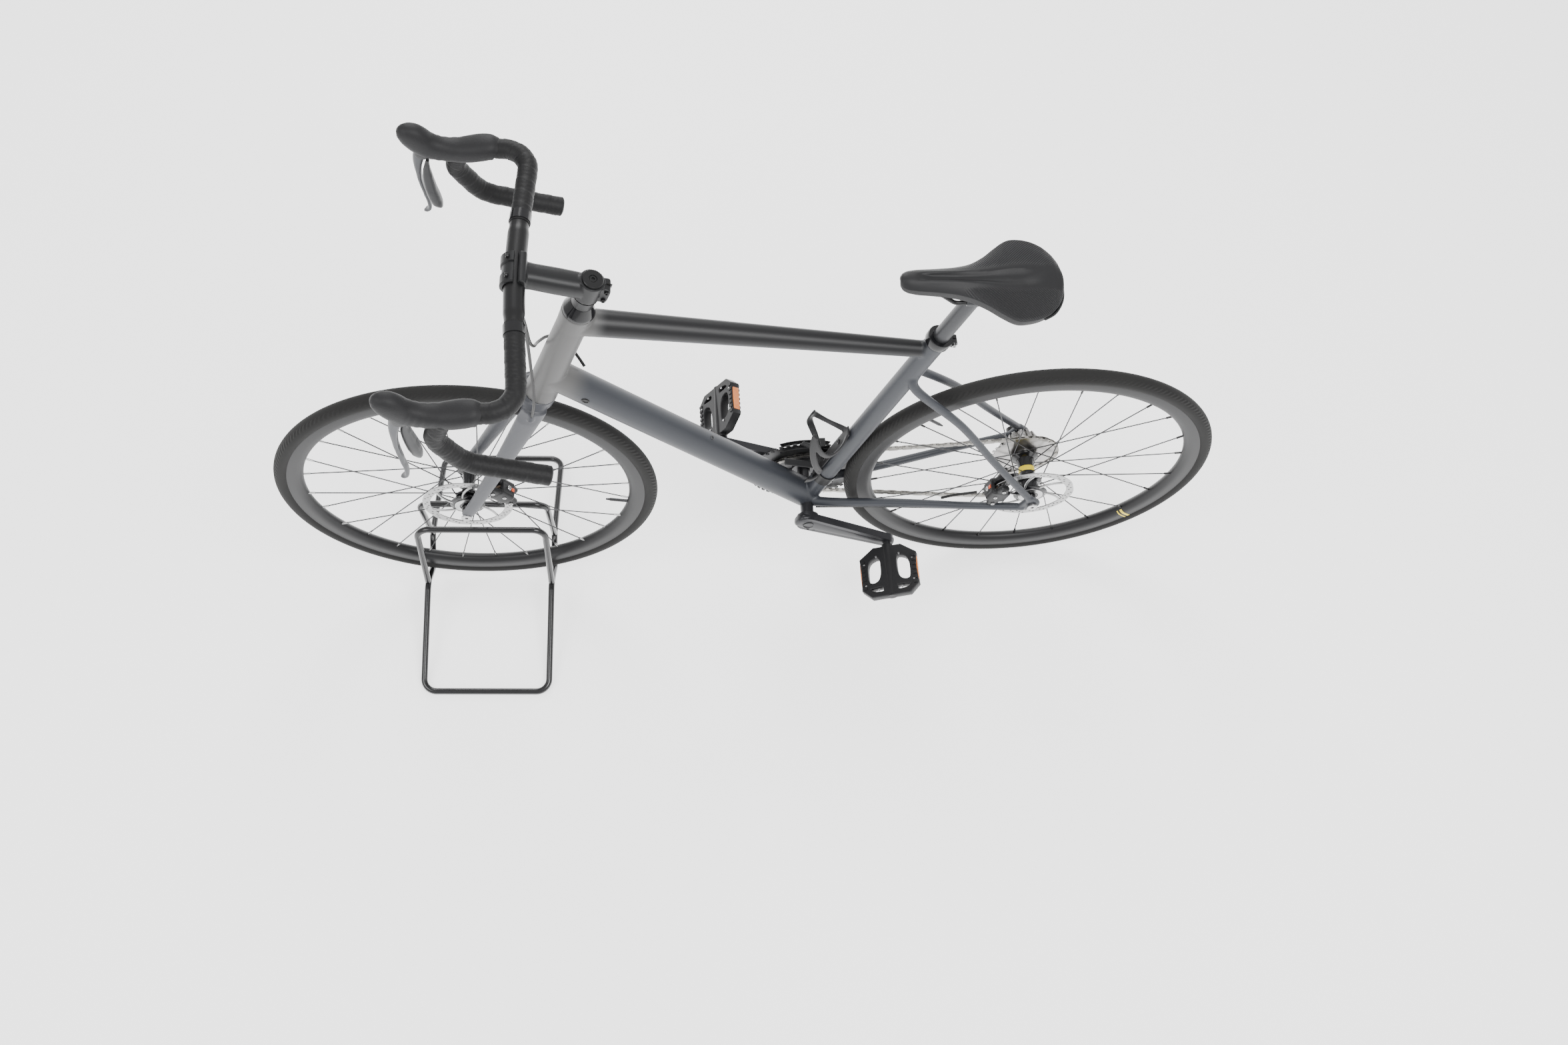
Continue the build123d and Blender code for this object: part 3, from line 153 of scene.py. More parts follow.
def surface(name, colour, rough, metallic=0.0, mottle=0.08, grain=(900, 0.05), coat=0.0, height=None,
            tint=None, specular=0.5):
    """A shader with mottled colour, uneven roughness and fine bump.

    height adds a pattern to the bump: a function that takes (nodes, links, coordinates) and returns
    (socket, strength, distance in metres). tint adds colours: a function of the same three that
    returns a list of (mask socket, colour).
    """
    material = bpy.data.materials.new(name)
    material.use_nodes = True
    nodes, links = material.node_tree.nodes, material.node_tree.links
    shader = nodes["Principled BSDF"]
    shader.inputs["Metallic"].default_value = metallic
    shader.inputs["Coat Weight"].default_value = coat
    shader.inputs["Coat Roughness"].default_value = COAT_ROUGHNESS
    shader.inputs["Specular IOR Level"].default_value = specular
    place = nodes.new("ShaderNodeTexCoord").outputs["Object"]

    cloud = noise(nodes, links, place, CLOUD_SCALE, 4.0)
    blend = nodes.new("ShaderNodeMix")
    blend.data_type = "RGBA"
    blend.inputs["A"].default_value = (*[c * (1 - mottle) for c in colour], 1)
    blend.inputs["B"].default_value = (*[min(1, c * (1 + mottle)) for c in colour], 1)
    links.new(cloud, blend.inputs["Factor"])
    base = blend.outputs["Result"]
    if tint:
        for mask, shade in tint(nodes, links, place):
            layer = nodes.new("ShaderNodeMix")
            layer.data_type = "RGBA"
            links.new(mask, layer.inputs["Factor"])
            links.new(base, layer.inputs["A"])
            layer.inputs["B"].default_value = (*shade, 1)
            base = layer.outputs["Result"]
    links.new(base, shader.inputs["Base Color"])

    scale, strength = grain
    fine = noise(nodes, links, place, scale, 3.0)
    uneven = nodes.new("ShaderNodeMapRange")
    uneven.inputs["To Min"].default_value = max(0.02, rough - ROUGH_SPREAD)
    uneven.inputs["To Max"].default_value = min(1.0, rough + ROUGH_SPREAD)
    links.new(fine, uneven.inputs["Value"])
    links.new(uneven.outputs["Result"], shader.inputs["Roughness"])
    bump = nodes.new("ShaderNodeBump")
    bump.inputs["Strength"].default_value = strength
    bump.inputs["Distance"].default_value = GRAIN_DEPTH
    links.new(fine, bump.inputs["Height"])
    if height:
        socket, amount, distance = height(nodes, links, place)
        relief = nodes.new("ShaderNodeBump")
        relief.inputs["Strength"].default_value = amount
        relief.inputs["Distance"].default_value = distance
        links.new(socket, relief.inputs["Height"])
        links.new(relief.outputs["Normal"], bump.inputs["Normal"])
    links.new(bump.outputs["Normal"], shader.inputs["Normal"])
    return material


def noise(nodes, links, place, scale, detail):
    """Cloudy noise between 0 and 1."""
    texture = nodes.new("ShaderNodeTexNoise")
    texture.inputs["Scale"].default_value = scale
    texture.inputs["Detail"].default_value = detail
    links.new(place, texture.inputs["Vector"])
    return texture.outputs["Fac"]


def calculate(nodes, links, operation, first, second=None):
    """A math node on sockets or numbers."""
    node = nodes.new("ShaderNodeMath")
    node.operation = operation
    for value, socket in ((first, node.inputs[0]), (second, node.inputs[1])):
        if value is None:
            continue
        if isinstance(value, (int, float)):
            socket.default_value = value
        else:
            links.new(value, socket)
    return node.outputs[0]


def attribute(nodes, name):
    """A number that store() has kept in the mesh."""
    node = nodes.new("ShaderNodeAttribute")
    node.attribute_name = name
    return node.outputs["Fac"]


# --- Mesh helpers -------------------------------------------------------------------------------

SHARP_ANGLE = 42


def show(name, mesh, place, material, body, replaced=(), subdivide=0):
    """Link a mesh as a piece on a body and hide the CAD nodes it stands for."""
    mesh.transform(place)
    piece = bpy.data.objects.new(name, mesh)
    bpy.context.scene.collection.objects.link(piece)
    mesh.materials.clear()
    mesh.materials.append(material)
    mesh.shade_smooth()
    mesh.set_sharp_from_angle(angle=math.radians(SHARP_ANGLE))
    if subdivide:
        step = piece.modifiers.new("smooth", "SUBSURF")
        step.levels = subdivide
        step.render_levels = subdivide
    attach(piece, body)
    if replaced:
        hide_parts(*replaced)
    return piece


def as_mesh(name, points, faces):
    """A mesh whose faces all look outward."""
    mesh = bpy.data.meshes.new(name)
    mesh.from_pydata([tuple(p) for p in points], [], faces)
    tidy = bmesh.new()
    tidy.from_mesh(mesh)
    bmesh.ops.recalc_face_normals(tidy, faces=tidy.faces)
    tidy.to_mesh(mesh)
    tidy.free()
    return mesh


def rings_mesh(name, rings, closed=False):
    """Join rings of equally many points into a skin, with flat ends unless it closes on itself."""
    count = len(rings[0])
    points = [p for ring in rings for p in ring]
    faces = []
    last = len(rings) if closed else len(rings) - 1
    for row in range(last):
        here, there = row * count, ((row + 1) % len(rings)) * count
        for i in range(count):
            j = (i + 1) % count
            faces.append((here + i, here + j, there + j, there + i))
    if not closed:
        faces.append(tuple(range(count)))
        faces.append(tuple(range((len(rings) - 1) * count, len(rings) * count)))
    return as_mesh(name, points, faces)


def lathe(name, profile, segments=192):
    """Turn a closed outline of (radius, y) about the Y axis."""
    rings = []
    for step in range(segments):
        angle = math.tau * step / segments
        c, s = math.cos(angle), math.sin(angle)
        rings.append([(r * c, y, r * s) for r, y in profile])
    return rings_mesh(name, rings, closed=True)


def round_path(points, radii, step=3.0):
    """Sample straight runs joined by tangent arcs."""
    corners = [Vector(p) for p in points]
    path = [corners[0]]
    for before, here, after, radius in zip(corners, corners[1:], corners[2:], radii):
        enter, leave = (here - before).normalized(), (after - here).normalized()
        bend = enter.angle(leave)
        cut = radius * math.tan(bend / 2)
        start = here - enter * cut
        side = (leave - enter * enter.dot(leave)).normalized()
        centre = start + side * radius
        add_run(path, start, step)
        parts = max(3, round(radius * bend / step))
        for part in range(1, parts + 1):
            angle = bend * part / parts
            path.append(centre - side * radius * math.cos(angle) + enter * radius * math.sin(angle))
    add_run(path, corners[-1], step)
    return path


def add_run(path, end, step):
    """Go straight on from the path's last point to end."""
    start = path[-1]
    parts = max(1, round((end - start).length / step))
    path.extend(start.lerp(end, part / parts) for part in range(1, parts + 1))


def sweep(name, path, radius, sides=24, rounded_ends=0.0):
    """A tube along a path. radius is a number, or a function of (distance, turn in radians)."""
    size = radius if callable(radius) else (lambda s, a: radius)
    count = len(path)
    tangents = []
    for i in range(count):
        after, before = path[min(i + 1, count - 1)], path[max(i - 1, 0)]
        tangents.append((after - before).normalized())
    normal = tangents[0].orthogonal().normalized()
    frames, rings, travelled = [], [], 0.0
    for i, tangent in enumerate(tangents):
        normal = (normal - tangent * normal.dot(tangent)).normalized()
        if i:
            travelled += (path[i] - path[i - 1]).length
        frames.append((path[i], normal.copy(), tangent.cross(normal), travelled, tangent, 1.0))
    if rounded_ends:
        frames = domed(frames, rounded_ends)
    for centre, across, other, distance, _, shrink in frames:
        ring = []
        for k in range(sides):
            a = math.tau * k / sides
            ring.append(centre + (across * math.cos(a) + other * math.sin(a)) * size(distance,
                                                                                     a) * shrink)
        rings.append(ring)
    return rings_mesh(name, rings)


def domed(frames, depth):
    """Add shrinking rings past both ends of a tube."""
    angles = [math.radians(degrees) for degrees in (20, 40, 60, 80)]

    def dome(entry, outward, angle):
        centre, across, other, distance, tangent, _ = entry
        tip = centre + tangent * outward * depth * math.sin(angle)
        return tip, across, other, distance, tangent, math.cos(angle)

    first = [dome(frames[0], -1, angle) for angle in reversed(angles)]
    last = [dome(frames[-1], 1, angle) for angle in angles]
    return first + frames + last


def ellipse(centre, across, up, width, height, count=32, square=2.0):
    """A ring with half sizes width and height; square above 2 flattens its sides."""
    ring = []
    for k in range(count):
        a = math.tau * k / count
        c, s = math.cos(a), math.sin(a)
        x = math.copysign(abs(c) ** (2 / square), c) * width
        y = math.copysign(abs(s) ** (2 / square), s) * height
        ring.append(Vector(centre) + Vector(across) * x + Vector(up) * y)
    return ring


def between(table, x):
    """Smooth interpolation in a table of rows whose first entry grows."""
    rows = sorted(table)
    x = min(max(x, rows[0][0]), rows[-1][0])
    index = next(i for i in range(len(rows) - 1) if x <= rows[i + 1][0])
    before, here, after, beyond = (rows[max(0, index - 1)], rows[index], rows[index + 1],
                                   rows[min(len(rows) - 1, index + 2)])
    t = (x - here[0]) / (after[0] - here[0])
    result = []
    for a, b, c, d in zip(before[1:], here[1:], after[1:], beyond[1:]):
        m0, m1 = (c - a) / 2, (d - b) / 2
        result.append((2 * t**3 - 3 * t**2 + 1) * b + (t**3 - 2 * t**2 + t) * m0
                      + (3 * t**2 - 2 * t**3) * c + (t**3 - t**2) * m1)
    return result


def sideways(axis):
    """The direction square to an axis that comes nearest to +Y."""
    across = Vector(Y)
    return (across - axis * across.dot(axis)).normalized()


def tube(start, end, r1, r2, sides=48):
    """A straight tapered bar as a mesh."""
    start, end = Vector(start), Vector(end)
    axis = (end - start).normalized()
    across = sideways(axis)
    up = axis.cross(across)
    parts = max(2, round((end - start).length / 12))
    rings = []
    for part in range(parts + 1):
        t = part / parts
        r = r1 + (r2 - r1) * t
        rings.append(ellipse(start.lerp(end, t), across, up, r, r, sides))
    return rings_mesh("tube", rings)


def finished_mesh(draft):
    """The mesh of a draft object with its modifiers applied; the draft itself goes."""
    bpy.context.view_layer.update()
    mesh = bpy.data.meshes.new_from_object(draft.evaluated_get(bpy.context.evaluated_depsgraph_get()))
    bpy.data.objects.remove(draft)
    return mesh


def fused(name, parts, voxel, passes):
    """Fuse overlapping closed meshes into one skin and soften its inner corners like a filed weld."""
    draft = bpy.data.objects.new(name, merged(name, parts))
    bpy.context.scene.collection.objects.link(draft)
    remesh = draft.modifiers.new("fuse", "REMESH")
    remesh.mode = "VOXEL"
    remesh.voxel_size = voxel
    soften = draft.modifiers.new("soften", "SMOOTH")
    soften.factor = 0.6
    soften.iterations = passes
    return finished_mesh(draft)


def cut_plate(name, outlines, thickness, bevel=0.0):
    """A flat plate in XZ, centred on y = 0, from outlines: the first is its edge, the rest are holes."""
    data = bpy.data.curves.new(name, "CURVE")
    data.dimensions = "2D"
    data.fill_mode = "BOTH"
    data.extrude = thickness / 2 - bevel
    data.bevel_depth = bevel
    data.bevel_resolution = 1
    for outline in outlines:
        spline = data.splines.new("POLY")
        spline.points.add(len(outline) - 1)
        for point, (x, z) in zip(spline.points, outline):
            point.co = (x, z, 0, 1)
        spline.use_cyclic_u = True
    draft = bpy.data.objects.new(name, data)
    bpy.context.scene.collection.objects.link(draft)
    return moved(finished_mesh(draft), turn("X", 90))


def circle(radius, count, centre=(0.0, 0.0)):
    """A round outline."""
    return [(centre[0] + radius * math.cos(math.tau * k / count),
             centre[1] + radius * math.sin(math.tau * k / count)) for k in range(count)]


def polar(radius, degrees):
    """The point at a radius and an angle about the origin."""
    return radius * math.cos(math.radians(degrees)), radius * math.sin(math.radians(degrees))


def merged(name, parts):
    """Several meshes as one mesh, unfused."""
    joined = bmesh.new()
    for part in parts:
        joined.from_mesh(part)
    mesh = bpy.data.meshes.new(name)
    joined.to_mesh(mesh)
    joined.free()
    return mesh


def moved(mesh, matrix):
    """The same mesh after a transform."""
    mesh.transform(matrix)
    return mesh


def bolt(place, direction, head=4.0, height=3.0, socket=2.2):
    """A cap bolt's head with a hexagonal recess."""
    along = Vector(direction).normalized()
    matrix = at(*place) @ along.to_track_quat("Y", "Z").to_matrix().to_4x4()
    rim = 0.5
    ring = lathe("bolt", [(socket, height * 0.35), (0.05, height * 0.35), (0.05, 0), (head, 0),
                          (head, height - rim), (head - rim, height), (socket, height)], 24)
    return moved(ring, matrix)


def dress(material, *names):
    """Give CAD nodes a material."""
    for name in names:
        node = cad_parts[name]
        node.data.materials.clear()
        node.data.materials.append(material)


# --- The materials of the bicycle ---------------------------------------------------------------

LIGHT_GREY = (0.088, 0.087, 0.086)
BLUE_GREY = (0.032, 0.035, 0.042)
FORK_GREY = (0.05, 0.052, 0.06)
TUBE_BLACK = (0.005, 0.005, 0.006)
CHEVRON_SPACING = 0.0042
CHEVRON_MIDDLE = 0.022


def frame_zones(nodes, links, place):
    """The top tube's black back and the head tube's lighter grey, from the zones stored in the mesh."""
    return [(attribute(nodes, "light"), LIGHT_GREY), (attribute(nodes, "black"), TUBE_BLACK)]


def weave(spacing):
    """Fine crossed ridges, as on a tyre's shoulder or a grip."""
    def pattern(nodes, links, place):
        parts = nodes.new("ShaderNodeSeparateXYZ")
        links.new(place, parts.inputs[0])
        total = None
        for first, second in (("X", "Z"), ("X", "Y")):
            added = calculate(nodes, links, "ADD", parts.outputs[first], parts.outputs[second])
            phase = calculate(nodes, links, "MULTIPLY", added, math.tau / spacing)
            wave = calculate(nodes, links, "SINE", phase)
            total = wave if total is None else calculate(nodes, links, "MULTIPLY", total, wave)
        return total, 0.5, 0.0005
    return pattern


def tyre_hatch(nodes, links, place):
    """Slanted file-tread grooves on both shoulders, from the turn and side stored in the mesh."""
    around = attribute(nodes, "around")
    side = attribute(nodes, "side")
    slant = calculate(nodes, links, "ADD", around, calculate(nodes, links, "MULTIPLY", side, 2.2))
    wave = calculate(nodes, links, "SINE", slant)
    shoulder = calculate(nodes, links, "MULTIPLY", wave, attribute(nodes, "shoulder"))
    return shoulder, 0.8, 0.0006


def pebble(scale, strength=0.5, distance=0.0006):
    """Small raised cells, like embossed tape or leather grain."""
    def pattern(nodes, links, place):
        cells = nodes.new("ShaderNodeTexVoronoi")
        cells.feature = "SMOOTH_F1"
        cells.inputs["Scale"].default_value = scale
        links.new(place, cells.inputs["Vector"])
        return cells.outputs["Distance"], strength, distance
    return pattern


def chevrons(nodes, links, place):
    """The saddle's fine V ridges, only on its wings."""
    parts = nodes.new("ShaderNodeSeparateXYZ")
    links.new(place, parts.inputs[0])
    offset = calculate(nodes, links, "SUBTRACT", parts.outputs["Y"], CHEVRON_MIDDLE)
    slant = calculate(nodes, links, "ADD", parts.outputs["X"],
                      calculate(nodes, links, "ABSOLUTE", offset))
    phase = calculate(nodes, links, "MULTIPLY", slant, math.tau / CHEVRON_SPACING)
    wave = calculate(nodes, links, "SINE", phase)
    return calculate(nodes, links, "MULTIPLY", wave, attribute(nodes, "wing")), 0.7, 0.0007


def brushed(nodes, links, place):
    """Fine streaks along Y."""
    stretch = nodes.new("ShaderNodeMapping")
    stretch.inputs["Scale"].default_value = (1.0, 0.05, 1.0)
    links.new(place, stretch.inputs["Vector"])
    return noise(nodes, links, stretch.outputs["Vector"], 2200.0, 2.0), 0.15, 0.0002


PAINT = surface("frame_paint", BLUE_GREY, 0.42, mottle=0.05, grain=(2600, 0.06), tint=frame_zones,
                specular=0.38)
FORK_PAINT = surface("fork_paint", FORK_GREY, 0.42, mottle=0.05, grain=(2600, 0.06))
STAND_PAINT = surface("stand_paint", (0.008, 0.008, 0.009), 0.2, mottle=0.1, grain=(140, 0.05), coat=0.3,
                      specular=0.4)
GLOSS_BLACK = surface("gloss_black", (0.006, 0.006, 0.007), 0.16, mottle=0.1, grain=(700, 0.02),
                      coat=0.2, specular=0.35)
SATIN_BLACK = surface("satin_black_alloy", (0.006, 0.006, 0.0065), 0.36, metallic=0.1,
                      grain=(2400, 0.06), specular=0.35)
RIM_BLACK = surface("rim_black", (0.011, 0.011, 0.012), 0.42, metallic=0.1, grain=(1800, 0.05),
                    specular=0.35)
STEM_GREY = surface("stem_grey", (0.009, 0.0092, 0.01), 0.4, metallic=0.1, grain=(2400, 0.06),
                    specular=0.35)
CRANK_GREY = surface("crank_grey", (0.022, 0.022, 0.025), 0.34, metallic=0.35, grain=(2200, 0.05))
POST_GREY = surface("post_grey", (0.045, 0.046, 0.049), 0.38, metallic=0.5, grain=(2200, 0.05),
                    height=brushed)
SILVER = surface("silver", (0.5, 0.5, 0.5), 0.28, metallic=1.0, grain=(1500, 0.05), height=brushed)
ROTOR_STEEL = surface("rotor_steel", (0.42, 0.42, 0.42), 0.32, metallic=1.0, grain=(1200, 0.05),
                      height=brushed)
COG_STEEL = surface("cog_steel", (0.42, 0.41, 0.4), 0.3, metallic=1.0, grain=(1200, 0.06), mottle=0.15)
CHAIN_STEEL = surface("chain_steel", (0.33, 0.32, 0.3), 0.33, metallic=1.0, grain=(900, 0.08),
                      mottle=0.25)
DARK_STEEL = surface("dark_steel", (0.05, 0.05, 0.052), 0.35, metallic=0.8, grain=(1500, 0.05))
TYRE_RUBBER = surface("tyre_rubber", (0.015, 0.0148, 0.0145), 0.72, mottle=0.2, grain=(1500, 0.2),
                      height=tyre_hatch, specular=0.2)
HOOD_RUBBER = surface("hood_rubber", (0.011, 0.011, 0.012), 0.55, mottle=0.15, grain=(2600, 0.2),
                      height=pebble(420, 0.25), specular=0.28)
TAPE = surface("bar_tape", (0.007, 0.007, 0.0075), 0.55, mottle=0.3, grain=(600, 0.25),
               height=pebble(260, 0.5), specular=0.25)
HOSE_BLACK = surface("hose_black", (0.007, 0.007, 0.007), 0.35, grain=(900, 0.05), specular=0.3)
SADDLE_SKIN = surface("saddle_skin", (0.010, 0.010, 0.011), 0.5, mottle=0.12, grain=(3000, 0.25),
                      height=chevrons, specular=0.3)
PLASTIC = surface("black_plastic", (0.008, 0.008, 0.009), 0.45, grain=(2400, 0.15),
                  height=pebble(900, 0.15, 0.0002), specular=0.35)
LEVER_GREY = surface("lever_grey", (0.075, 0.077, 0.082), 0.34, metallic=0.5, grain=(2000, 0.05))
PADDLE_GREY = surface("paddle_grey", (0.022, 0.0225, 0.024), 0.38, metallic=0.3, grain=(2000, 0.05))
ORANGE = surface("reflector_orange", (0.75, 0.2, 0.02), 0.25, grain=(500, 0.05), height=weave(0.0022),
                 coat=0.5)
ACCENT = surface("orange_accent", (0.62, 0.08, 0.02), 0.35, grain=(1500, 0.05))
YELLOW = surface("yellow_mark", (0.8, 0.62, 0.02), 0.4, grain=(1500, 0.05))
PAD_BRONZE = surface("pad_compound", (0.14, 0.1, 0.07), 0.7, grain=(1500, 0.3), mottle=0.3)


# --- Frame --------------------------------------------------------------------------------------

HEAD_BOTTOM, HEAD_TOP = 368.0, 613.0
DOWN_TUBE_TOP = 428
TOP_TUBE_REAR, TOP_TUBE_FRONT = 521, 581
SEAT_TUBE_TOP = 545
SHELL_HALF_WIDTH = 43
BOSSES = ((589, 151.6), (547, 101.6))
DROPOUT_INNER = {1: 71.4, -1: -79.6}
DROPOUT_THICKNESS = 8.2


def on_steering(height):
    """A point on the steering axis, in the bike frame."""
    return HEAD_AXIS @ Vector((0, 0, height))


def on_seat(height, forward=0.0, side=0.0):
    """A point given in the plane of the seat tube, in the bike frame."""
    return SEAT_AXIS @ Vector((forward, side, height))


def down_tube_axes():
    """The directions along the down tube and square to it, upward."""
    run = (on_steering(DOWN_TUBE_TOP) - Vector(CRANK_AT)).normalized()
    up = run.cross(Vector((0, -1, 0)))
    return run, up if up.z > 0 else -up


def store(mesh, name, values):
    """Keep a number for every point of a mesh, for its material."""
    layer = mesh.attributes.new(name, "FLOAT", "POINT")
    layer.data.foreach_set("value", values)


def soft_step(value, low, high):
    """0 below low, 1 above high, and smooth between them."""
    t = min(1.0, max(0.0, (value - low) / (high - low)))
    return t * t * (3 - 2 * t)


def curved_tube(points, radii, squash, sides=40):
    """A tapered tube through several centres, with smooth bends; squash narrows it sideways."""
    table = [(float(i), *p, r) for i, (p, r) in enumerate(zip(points, radii))]
    rings = []
    steps = 14 * (len(points) - 1)
    centres = [between(table, i * (len(points) - 1) / steps) for i in range(steps + 1)]
    for i, (x, y, z, r) in enumerate(centres):
        after, before = centres[min(i + 1, steps)], centres[max(i - 1, 0)]
        axis = (Vector(after[:3]) - Vector(before[:3])).normalized()
        across = sideways(axis)
        rings.append(ellipse((x, y, z), across, axis.cross(across), r * squash, r, sides))
    return rings_mesh("tube", rings)


def build_frame():
    """All the frame's tubes, fused with smooth welds."""
    crank = Vector(CRANK_AT)
    half_shell = Vector((0, SHELL_HALF_WIDTH, 0))
    parts = [
        tube(crank, on_steering(DOWN_TUBE_TOP), 27, 26, 56),
        tube(on_seat(TOP_TUBE_REAR), on_steering(TOP_TUBE_FRONT), 14, 22.5, 48),
        tube(on_seat(0), on_seat(SEAT_TUBE_TOP), 18, 17.8, 48),
        tube(on_steering(HEAD_BOTTOM + 0.5), on_steering(402), 28.4, 25.4, 56),
        tube(on_steering(402), on_steering(575), 25.4, 24.6, 56),
        tube(on_steering(575), on_steering(HEAD_TOP - 0.5), 24.6, 26.2, 56),
        tube(crank - half_shell, crank + half_shell, 23, 23, 56),
    ]
    for side in (1, -1):
        chainstay = [(394, side * 20, -67), (345, side * 28.5, -59), (240, side * 42, -43),
                     (120, side * 61, -27), (12, side * 76, -12)]
        seatstay = [tuple(on_seat(456, -4, side * 8)), tuple(on_seat(430, -17, side * 22)),
                    (162, side * 40, 237), (88, side * 57, 128), (5, side * 75.5, 14)]
        parts.append(curved_tube(chainstay, [11, 9.6, 9, 8.3, 8], 0.85))
        parts.append(curved_tube(seatstay, [9.5, 8.6, 7.6, 7.2, 7.0], 0.9))
        parts.append(moved(plate_solid(hull_outline()), at(0, DROPOUT_INNER[side], 0)))
    _, up = down_tube_axes()
    for x, z in BOSSES:
        centre = Vector((x, 0, z))
        parts.append(tube(centre - up * 8, centre + up * 5.0, 7.0, 5.8, 24))
    mesh = fused("frame_weldment", parts, 1.7, 9)
    paint_zones(mesh)
    tubes = ("head_tube", "top_tube", "down_tube", "seat_tube", "bottom_bracket_shell", "chainstays",
             "seatstays")
    show("frame_weldment", mesh, BIKE, PAINT, "frame", tubes)


def hull_outline():
    """The dropout's outline: rounded lobes for the axle, the chainstay and the seatstay."""
    lobes = [(0.0, 0.0, 15.0), (18.0, -12.0, 8.0), (6.0, 18.0, 7.0)]
    outline = []
    for k in range(72):
        angle = math.tau * k / 72
        c, s = math.cos(angle), math.sin(angle)
        x, z, r = max(lobes, key=lambda lobe: lobe[0] * c + lobe[1] * s + lobe[2])
        outline.append((x + r * c, z + r * s))
    return outline


def plate_solid(outline):
    """A closed slab between y = 0 and the dropout's thickness."""
    return rings_mesh("slab", [[Vector((x, y, z)) for x, z in outline] for y in (0, DROPOUT_THICKNESS)])


def paint_zones(mesh):
    """Where the paint turns black on the top tube and light grey towards the head tube."""
    start, end = on_seat(TOP_TUBE_REAR), on_steering(TOP_TUBE_FRONT)
    total = (end - start).length
    run = (end - start).normalized()
    head = on_steering(HEAD_BOTTOM)
    axis = (on_steering(HEAD_TOP) - head).normalized()
    black, light = [], []
    for vertex in mesh.vertices:
        p = vertex.co
        along = (p - start).dot(run)
        spot = start + run * along
        near = (p - spot).length
        upward = p.z - spot.z
        on_tube = 1 - soft_step(near, 26, 32)
        ends = soft_step(along, 6, 22) * (1 - soft_step(along, total - 52, total - 26))
        black.append(on_tube * ends * soft_step(upward, -4.0, -1.0))
        offset = p - head
        lateral = (offset - axis * offset.dot(axis)).length
        light.append(1 - soft_step(lateral, 30, 75))
    store(mesh, "black", black)
    store(mesh, "light", light)


# --- Fork, stem and headset ---------------------------------------------------------------------

CROWN_SECTIONS = ((340, 37, 19), (346, 41, 22), (358, 36, 24), (366, 29, 27))
BLADE_TOP, BLADE_FOOT = 356, 2
BLADE_TABLE = (
    # height, forward, sideways, half depth, half width
    (356, 6, 29.5, 21, 12.5), (327, 9.4, 34, 20, 12), (220, 19.7, 43, 16, 10), (141, 28, 49.5, 14, 9),
    (60, 36.5, 54.5, 12, 7.6), (16, 42, 56.5, 11.5, 6.4), (2, 44, 56.5, 11, 6),
)


def build_fork():
    """Crown, two blades, dropout discs and the boss of the front hose, fused."""
    crown = [ellipse((7, 0, z), Y, X, w, d, 48, 2.6) for z, w, d in CROWN_SECTIONS]
    parts = [tube((0, 0, HEAD_BOTTOM - 22), (0, 0, HEAD_BOTTOM), 27.0, 28.0, 48), rings_mesh("crown", crown)]
    for side in (1, -1):
        rings = []
        for step in range(60):
            height = BLADE_TOP - (BLADE_TOP - BLADE_FOOT) * step / 59
            x, y, depth, width = between(BLADE_TABLE, height)
            rings.append(ellipse((x, side * y, height), Y, X, width, depth, 40, 2.2))
        parts.append(rings_mesh("blade", rings))
        parts.append(tube((FORK_RAKE, side * 50.3, 0), (FORK_RAKE, side * 62.3, 0), 14, 13.4, 40))
    parts.append(tube((10, 39, 352), (9, 46.5, 340), 6.0, 5.0, 24))
    mesh = fused("fork_body", parts, 1.5, 7)
    show("fork_body", mesh, STEERING, FORK_PAINT, "fork", ("fork",))


STEERER_RADIUS = 14.4
UPRIGHT = turn("X", 90)


def build_headset():
    """The conical cover over the upper bearing and the tapered spacer on it."""
    cone = [(STEERER_RADIUS, 613.4), (25.6, 613.4), (26.0, 615.0), (24.6, 618.5), (18.4, 633.0),
            (17.4, 634.8), (STEERER_RADIUS, 634.8)]
    spacer = [(STEERER_RADIUS, 635.0), (17.2, 635.0), (17.4, 636.0), (17.9, 646.0), (19.6, 653.6),
              (19.6, 654.8), (STEERER_RADIUS, 654.8)]
    for name, profile, material, replaced in (("headset_cone", cone, GLOSS_BLACK, ("headset_spacers",)),
                                              ("headset_spacer", spacer, STEM_GREY, ())):
        ring = moved(lathe(name, profile, 96), UPRIGHT)
        show(name, ring, STEERING, material, "fork", replaced)


BAR_FORWARD, BAR_HEIGHT = 112.0, 675.0
STEM_SECTIONS = ((0, 17, 17), (20, 18.5, 18.5), (50, 19, 18.5), (85, 18.5, 18), (104, 20, 18.5))
FACE_HALF_ANGLE = 74


